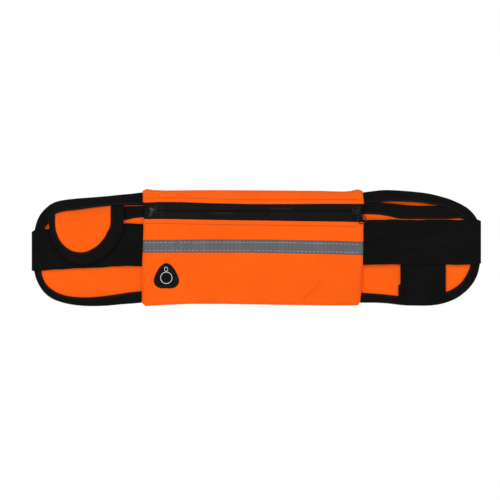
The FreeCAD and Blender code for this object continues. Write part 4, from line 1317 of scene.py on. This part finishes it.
def make_wing(side, nm, body, outer_pts, OL, WL, window_pts, mouth_top, mouth_low, tip_x, band_z, seed, lift=None):
    panel = oriented_inset(outer_pts, 1.0)
    lim = tip_x - side * 0.3
    R = panel.copy()
    R[:, 0] = np.where(side * R[:, 0] > side * lim, lim, R[:, 0])
    R = densify(loop(R), 1.8)
    back = pillow(nm + "_back", [R], y_const(-2.9), wing_surface_back(panel, seed), MAT["orange"], rings=(0.15, 0.6, 1.4), step=3.6)
    place(back, None, [nm + "_wing_back_panel"])
    FR = densify(clip_below(R, [(x, z - 0.8) for x, z in mouth_top]), 1.7)
    surf = wing_surface(-5.0, WL, seed + 3, 0.30)

    def front_y(P):
        y = surf(P)
        # it sinks a little where the band crosses it
        y = y + 0.5 * np.exp(-((P[:, 1] - band_z[1] - 1.0) / 2.6) ** 2)
        if nm + "_front" in SIM:
            y = y + SIM[nm + "_front"](P)
        return y
    fr = pillow(nm + "_front", [FR], front_y, lambda P: np.maximum(front_y(P) + 1.5, -3.45), MAT["orange"], rings=(0.15, 0.5, 1.2), step=2.2)
    place(fr, None, [nm + "_wing_front_panel"])
    edge, seam = channel(nm + "_binding", OL, WL, -5.85, -0.1, 0.8, MAT["binding"], seed=seed, lift=lift)
    up = (lambda P: -5.72 + lift(P[:, 0], P[:, 1], np.full(len(P), 1.5))) if lift else y_const(-5.72)
    place(edge, None, [nm + "_wing_binding"])
    sc = stitches(nm + "_binding_stitches", [seam], up, MAT["thread_black"], pitch=2.9, length=2.1, r=0.22, sink=-0.02, seed=seed)
    place(sc, None, ())
    # binding along the pocket's mouth
    mt, ml = straight(mouth_top, 1.5), straight(mouth_low, 1.5)
    okt, okl = inside(mt, np.vstack([OL, OL[:1]])), inside(ml, np.vstack([OL, OL[:1]]))
    mt, ml = mt[okt][:-1], ml[okl][:-1]
    mouth, mseam = channel(nm + "_mouth", mt, ml, -5.62, -2.95, 0.55, MAT["binding"], seed=seed + 5, back_share=0.8, wrinkle=0.18)
    place(mouth, None, [nm + "_pocket_mouth_binding"])
    ms = stitches(nm + "_mouth_stitches", [mseam], y_const(-5.5), MAT["thread_black"], pitch=2.9, length=2.1, r=0.2, sink=-0.02, seed=seed + 6)
    place(ms, None, ())
    declare(R)
    declare(FR)
    return R, FR


def wing_surface_back(panel, seed):
    def f(P):
        d = dist(P, panel, closed=False)
        return -0.9 + 0.45 * smooth(d / 14) * (0.6 + 0.4 * waves(P, seed + 9, 5, 30, 70)) * smooth((np.abs(P[:, 0]) - 113) / 10)
    return f


def flap_lip(x, z, e):
    """The top binding stands out where it is sewn over the flap's root."""
    return -2.3 * smooth((x + 209) / 6) * smooth((-123.5 - x) / 6) * (z > 25) * (1 - smooth((e - 3.0) / 5.5))


make_wing(-1, "left", "left_wing", left_line, LL, LW, left_window, l_mouth_top, l_mouth_low, LEFT_TIP[0], (-22.0, 18.0), 11, flap_lip)
make_wing(1, "right", "right_wing", right_line, RL, RW, right_window, r_mouth_top, r_mouth_low, RIGHT_TIP[0], (-17.4, 27.6), 31)


# ---------------------------------------------------------------- waist bands
def fold_path(centre, r, a0, a1, n=16):
    a = np.radians(np.linspace(a0, a1, n))
    return np.c_[centre[0] + r * np.cos(a), centre[1] + r * np.sin(a)]


def strap(name, path, z0, z1, t, mat, seed, wob=0.14, thin=None, nz=20, corner=None, calm=None):
    """A strap along an (x, y) path. z0 and z1 are its edges as functions of x."""
    path = np.asarray(path, float)
    s = np.r_[0, np.cumsum(np.linalg.norm(np.diff(path, axis=0), axis=1))]
    a, b = z0(path[:, 0]), z1(path[:, 0])
    if corner:
        end, r = corner
        e = np.abs(s - (0 if end == "start" else s[-1]))
        cut = r - np.sqrt(np.maximum(0, r * r - np.maximum(0, r - e) ** 2))
        a, b = a + cut, b - cut
    rr = np.random.RandomState(seed)
    ph = rr.rand(4) * 6

    def shift(V):
        out = np.zeros_like(V)
        x, z = V[:, 0], V[:, 2]
        f = calm(V) if calm else 1.0
        out[:, 1] = wob * f * (np.sin(x / 9.0 + z / 14 + ph[0]) + 0.6 * np.sin(x / 4.1 - z / 8 + ph[1]) + 0.5 * np.sin(z / 6 + ph[2]))
        out[:, 2] = 0.22 * np.sin(x / 7.3 + ph[3]) + 0.12 * np.sin(x / 2.9 + ph[1])
        return out

    ob = ribbon(name, path, a, b, t, mat, nz=nz, shift=shift, thin=thin)
    V = np.array([v.co for v in ob.data.vertices]) / MM
    k = len(path)
    n = len(V) // k
    T = V.copy()
    T[:, 0] = np.repeat(s, n)[:len(V)]
    T[:, 1] = 0
    T[:, 2] = V[:, 2]
    add_tex(ob, T)
    ob["len"], ob["wid"] = float(s[-1]), float(np.mean(b - a))
    return ob


def dens_path(pts, step=2.2):
    return straight(pts, step)


def lin(xs, zs):
    o = np.argsort(xs)
    xs, zs = np.array(xs)[o], np.array(zs)[o]
    return lambda x: np.interp(x, xs, zs)


lz1 = lin([-104.0, -126.0, -160.0, -205.0, -217.2], [23.7, 23.7, 21.9, 18.5, 17.2])
lz0 = lin([-104, -126, -143, -162, -177, -203, -217.2], [-18.8, -18.9, -19.4, -20.6, -21.3, -22.3, -24.6])
fx, fy = LEFT_TIP
path = np.vstack([dens_path([(-200.0, 1.4), (fx, 1.4)])[:-1], fold_path(LEFT_TIP, 4.3, 90, 270), dens_path([(fx, -7.2), (-104.0, -7.2)])[1:]])
tipr = lambda x: 1.5 * smooth((-217.6 - x) / 3.9)
lb = strap("left_band", path, lambda x: lz0(x) + 0.6 * tipr(x), lambda x: lz1(x) - tipr(x), 1.4, MAT["elastic"], 41, calm=lambda V: smooth((V[:, 0] - fx) / 14) * (V[:, 1] < -3))
place(lb, None, ["left_waist_band"])

fx2, fy2 = RIGHT_TIP
c = lambda v: (lambda x: np.full(len(np.atleast_1d(x)), float(v)))
path = np.vstack([dens_path([(102.5, -8.1), (fx2, -8.1)])[:-1], fold_path(RIGHT_TIP, 4.7, -90, 90), dens_path([(fx2, 1.3), (206.0, 1.3)])[1:]])
rbd = strap("right_band", path, lambda x: -17.3 + 0.8 * smooth((x - 225.4) / 3.3), lambda x: 27.6 - 1.3 * smooth((x - 225.4) / 3.3), 1.4, MAT["elastic"], 43,
            calm=lambda V: smooth((fx2 - V[:, 0]) / 14) * (V[:, 1] < -3))
place(rbd, None, ["right_waist_band"])

# the strap under the band on the right wing
BR = densify(np.array([(147.8, 20.0), (193.2, 20.0), (193.2, -54.6), (180.0, -56.9), (163.0, -57.3), (145.7, -56.6), (145.7, -38.0), (147.8, -37.0)]), 1.6)
bs = pillow("bottle_strap", [BR], lambda P: -6.62 - 0.10 * np.sin(P[:, 1] / 6) - 0.07 * np.sin(P[:, 0] / 5 + P[:, 1] / 11), y_const(-5.75), MAT["elastic"], rings=(0.12, 0.35, 0.8), step=2.2)
co = np.array([v.co for v in bs.data.vertices]) / MM
add_tex(bs, np.c_[co[:, 2], 0 * co[:, 0], co[:, 0]])
place(bs, "right_wing", ["bottle_base_strap"])
declare(BR)


# ------------------------------------------------------------------ coin flap
HZ0, HZ1 = 34.6, 43.1


def hinge_z(x):
    return HZ0 + (HZ1 - HZ0) / 74.0 * (x + 203.0)


flap_curve = [
    (-129.0, 16.0), (-133.5, 9.0), (-138.5, 1.0), (-144.8, -5.6), (-151.5, -11.2),
    (-161.0, -15.9), (-172.0, -17.0), (-183.0, -14.0), (-192.0, -6.5), (-198.5, 3.0),
    (-202.2, 12.5), (-203.4, 20.0)]
d_curve = [
    (-142.0, 25.0), (-143.1, 19.3), (-145.2, 15.3), (-147.5, 10.6), (-150.5, 6.6), (-153.4, 3.3),
    (-159.0, -0.9), (-165.5, -4.1), (-172.5, -5.1), (-179.5, -3.9), (-185.6, -0.7), (-190.0, 3.3),
    (-193.0, 7.3), (-195.0, 11.8), (-196.8, 17.5), (-197.5, 24.0)]
FO = loop(straight([(-129.0, hinge_z(-129.0) + 2.0), (-129.0, 16.0)], 1.4), cubic(flap_curve, step=1.4), straight([(-203.4, 20.0), (-204.7, 26.5), (-205.0, hinge_z(-205.0) + 2.0)], 1.4))
FI = loop(straight([(-142.0, hinge_z(-142.0) + 2.0), (-142.0, 25.0)], 1.2), cubic(d_curve, step=1.2), straight([(-197.5, 24.0), (-197.5, hinge_z(-197.5) + 2.0)], 1.2))


def flap_face(P):
    d = dist(P, FI, closed=False)
    root = smooth((hinge_z(P[:, 0]) - P[:, 1]) / 8)
    y = -10.15 - 0.55 * smooth(d / 11) * (0.7 + 0.3 * waves(P, 77, 6, 18, 45)) * root + puckers(P, FI, 78, 0.07, 4.0, 7.0)
    # the root runs back under the top binding
    return y * root - 6.65 * (1 - root)


cen = np.array([-168.0, 15.0])
pan = np.array([p + (cen - p) / np.linalg.norm(cen - p) * 3.4 for p in FO if p[1] < 24.0])
pan = np.vstack([[(-132.6, hinge_z(-132.6) + 1.6)], pan, [(-200.9, hinge_z(-200.9) + 1.6)]])
pan = densify(loop(pan), 1.5)
fp = pillow("coin_flap_cloth", [pan], flap_face, lambda P: flap_face(P) + 1.0, MAT["orange"], rings=(0.15, 0.5, 1.2), step=1.9)
place(fp, None, ["coin_flap_panel"])
fb, fseam = channel("coin_flap_edge", FO, FI, -10.75, -8.3, 0.62, MAT["binding"], step=1.5, seed=81, wrinkle=0.10)
me = fb.data
co = np.zeros(len(me.vertices) * 3)
me.vertices.foreach_get("co", co)
co = co.reshape(-1, 3)
rt = smooth((hinge_z(co[:, 0] / MM) - co[:, 2] / MM) / 8)
yy = co[:, 1] / MM
co[:, 1] = MM * (yy * rt + (-7.2 + (yy + 10.75) * 0.45) * (1 - rt))
me.vertices.foreach_set("co", co.ravel())
me.update()
place(fb, None, ["coin_flap_binding"])


def flap_edge_y(P):
    r = smooth((hinge_z(P[:, 0]) - P[:, 1]) / 8)
    return -10.66 * r - 7.15 * (1 - r)


fs = stitches("coin_flap_stitches", [fseam[3:-3]], flap_edge_y, MAT["thread_black"], pitch=2.8, length=2.0, r=0.2, sink=-0.02, seed=82)
place(fs, None, ())
HR = rounded_poly([(-184.0, 13.5, 2.0), (-160.0, 13.5, 2.0), (-160.0, 1.5, 4.0), (-184.0, 1.5, 4.0)], 1.0)
hk = pillow("coin_flap_hooks", [HR], y_const(-9.1), y_const(-8.22), MAT["hook"], rings=(0.12, 0.35), step=1.6)
place(hk, "coin_flap", ["coin_flap_hook_patch"])
LR = rounded_poly([(-187.0, 15.5, 2.0), (-157.0, 15.5, 2.0), (-157.0, -3.5, 6.0), (-187.0, -3.5, 6.0)], 1.0)
lp = pillow("coin_flap_loops", [LR], y_const(-7.82), y_const(-7.0), MAT["loop"], rings=(0.12, 0.35), step=1.6)
place(lp, "left_wing", ["coin_flap_loop_patch"])
declare(pan)
declare(HR)
declare(LR)


# ---------------------------------------------------------------- strap tails
def tail(name, tip, r_out, y_out, sx, z0, z1, body, node, seed):
    a = (115, 90) if sx < 0 else (65, 90)
    arc_part = fold_path(tip, r_out, a[0], a[1], 12)
    flat_part = dens_path([(tip[0], tip[1] + r_out), (-118.5 if sx < 0 else 118.5, tip[1] + r_out)], 2.2)
    if sx < 0:
        path = np.vstack([flat_part[::-1], arc_part[::-1][1:]])
        corner = ("start", 6.0)
        s = np.arange(len(path))
        thin = np.ones(len(path))
        thin[-12:] = np.linspace(1, 0.35, 12)
    else:
        path = np.vstack([arc_part, flat_part[1:]])
        corner = ("end", 6.0)
        thin = np.ones(len(path))
        thin[:12] = np.linspace(0.35, 1, 12)
    # finer steps at the rounded free end
    e = np.linspace(0, 6, 10)[1:-1]
    if sx < 0:
        extra = np.c_[-118.5 - e, np.full(len(e), path[0, 1])]
        keep = path[:, 0] < -118.5 - 6.2
        keep[0] = True
        path2 = np.vstack([path[:1], extra, path[1:][keep[1:]]])
        thin = np.r_[thin[:1], np.ones(len(e)), thin[1:][keep[1:]]]
    else:
        extra = np.c_[118.5 + e[::-1], np.full(len(e), path[-1, 1])]
        keep = path[:, 0] > 118.5 + 6.2
        keep[-1] = True
        path2 = np.vstack([path[:-1][keep[:-1]], extra, path[-1:]])
        thin = np.r_[thin[:-1][keep[:-1]], np.ones(len(e)), thin[-1:]]
    ob = strap(name, path2, c(z0), c(z1), 1.4, MAT["elastic"], seed, thin=thin, corner=corner, wob=0.05,
               calm=lambda V: smooth((np.abs(tip[0]) - np.abs(V[:, 0]) - 4) / 14))
    place(ob, body, [node])
    return ob


tail("left_tail", LEFT_TIP, 6.0, 3.1, -1, -23.0, 15.0, "left_strap", "left_strap_tail", 51)
tail("right_tail", RIGHT_TIP, 6.4, 3.0, 1, -13.5, 24.5, "right_strap", "right_strap_tail", 53)
R = rounded_poly([(-182.0, 13.0, 2.0), (-122.0, 13.0, 4.0), (-122.0, -21.0, 4.0), (-182.0, -21.0, 2.0)], 1.4)
ob = pillow("left_tail_loops", [R], y_const(2.95), y_const(3.8), MAT["loop"], rings=(0.12, 0.35, 0.8), step=2.2)
place(ob, "left_strap", ["left_strap_loop_patch"])
q = 1.3
bx = stitches("left_tail_stitches", [np.array([(-182 + q, 13 - q), (-122 - q, 13 - q), (-122 - q, -21 + q), (-182 + q, -21 + q), (-182 + q, 13 - q)], float)], y_const(3.8), MAT["thread_black"], pitch=2.8, length=2.0, r=0.22, side=1, sink=0.0, seed=61)
place(bx, "left_strap", ())
declare(R)
R = rounded_poly([(174.0, 22.5, 2.0), (122.0, 22.5, 4.0), (122.0, -11.5, 4.0), (174.0, -11.5, 2.0)], 1.4)
ob = pillow("right_tail_hooks", [R], y_const(0.8), y_const(1.72), MAT["hook"], rings=(0.12, 0.35, 0.8), step=2.2)
place(ob, "right_strap", ["right_strap_hook_patch"])
declare(R)
rb = [(174 - q, 22.5 - q), (122 + q, 22.5 - q), (122 + q, -11.5 + q), (174 - q, -11.5 + q), (174 - q, 22.5 - q)]
bx = stitches("right_tail_stitches", [np.array(rb, float)], y_const(3.0), MAT["thread_black"], pitch=2.8, length=2.0, r=0.22, side=1, sink=0.0, seed=62)
place(bx, "right_strap", ())
for nm, x0, z0, z1, body, yy in (("left", -214.5, -22.5, 14.8, "left_wing", 1.4), ("right", 208.5, -15.0, 26.0, "right_wing", 1.3)):
    xe = -202.0 if nm == "left" else 221.0
    pts = np.array([(x0, z0), (xe, z0), (xe, z1), (x0, z1), (x0, z0), (xe, z1), (x0, z1), (xe, z0)], float)
    bx = stitches(nm + "_band_stitches", [pts], y_const(yy), MAT["thread_black"], pitch=2.6, length=1.9, r=0.12, side=1, sink=0.03, seed=63)
    place(bx, body, ())

# ------------------------------------------------------------------ CAD metal
for name, mat, bev in (("zip_slider", "enamel", 0.16), ("zip_pull_link", "steel", 0), ("zip_pull_ring", "steel", 0), ("zip_end_stops", "steel", 0.1)):
    node = bpy.data.objects[name] if name in bpy.data.objects else None
    if node is None:
        continue
    node.data.materials.clear()
    node.data.materials.append(MAT[mat])
    if bev:
        m = node.modifiers.new("bevel", "BEVEL")
        m.width, m.segments, m.limit_method, m.angle_limit = bev * MM, 3, "ANGLE", math.radians(35)
        n = node.modifiers.new("normals", "WEIGHTED_NORMAL")
        n.keep_sharp = False
    for p in node.data.polygons:
        p.use_smooth = True
node = bpy.data.objects.get("earphone_port_backing")
if node:
    node.data.materials.clear()
    node.data.materials.append(rubber("mat_backing", k(BLACK, 1.0)))

# --------------------------------------------------------- stage, light, lens
scene = bpy.context.scene
bm = bmesh.new()
bmesh.ops.create_circle(bm, cap_ends=True, cap_tris=True, radius=1.9, segments=96)
fme = bpy.data.meshes.new("floor")
bm.to_mesh(fme)
bm.free()
floor = bpy.data.objects.new("floor", fme)
floor.location = (0, 0, -0.45)
COL.objects.link(floor)
fm = bpy.data.materials.new("mat_floor")
fm.use_nodes = True
p = fm.node_tree.nodes["Principled BSDF"]
p.inputs["Base Color"].default_value = (0.86, 0.86, 0.86, 1)
p.inputs["Roughness"].default_value = 0.9
p.inputs["Specular IOR Level"].default_value = 0.1
p.inputs["Emission Color"].default_value = (1, 1, 1, 1)
p.inputs["Emission Strength"].default_value = 0.22
floor.data.materials.append(fm)

world = bpy.data.worlds.new("studio")
scene.world = world
world.use_nodes = True
nt = world.node_tree
bg = nt.nodes["Background"]
tc = nt.nodes.new("ShaderNodeTexCoord")
sp = nt.nodes.new("ShaderNodeSeparateXYZ")
nt.links.new(tc.outputs["Generated"], sp.inputs[0])
ab = nt.nodes.new("ShaderNodeMath")
ab.operation = "ABSOLUTE"
nt.links.new(sp.outputs["Z"], ab.inputs[0])
rp = nt.nodes.new("ShaderNodeValToRGB")
rp.color_ramp.elements[0].position, rp.color_ramp.elements[0].color = 0.30, (1.0, 1.0, 1.0, 1)
rp.color_ramp.elements[1].position, rp.color_ramp.elements[1].color = 0.62, (0.50, 0.50, 0.51, 1)
nt.links.new(ab.outputs[0], rp.inputs[0])
nt.links.new(rp.outputs[0], bg.inputs["Color"])
bg.inputs["Strength"].default_value = 1.0


def area(name, loc, target, size, power):
    li = bpy.data.lights.new(name, "AREA")
    li.shape, li.size, li.energy = "DISK", size, power
    li.color = (1.0, 0.995, 0.985)
    ob = bpy.data.objects.new(name, li)
    ob.location = loc
    ob.rotation_euler = (Vector(target) - Vector(loc)).to_track_quat("-Z", "Y").to_euler()
    COL.objects.link(ob)
    return ob


area("key", (-0.9, -1.5, 1.5), (0, 0, 0), 0.7, 15)
area("fill", (1.5, -1.6, 0.3), (0, 0, 0), 1.2, 6)
area("rim", (0.4, 1.4, 1.4), (0, 0, 0), 0.8, 8)

cam_data = bpy.data.cameras.new("camera")
cam_data.type = "PERSP"
cam_data.sensor_width = 36
cam_data.lens = 180
cam_data.clip_end = 50
cam = bpy.data.objects.new("camera", cam_data)
cam.location = (-0.00275, -0.008 - 2.5, -0.0027)
cam.rotation_euler = (math.radians(90), 0, 0)
COL.objects.link(cam)
scene.camera = cam
scene.view_settings.view_transform = "Standard"
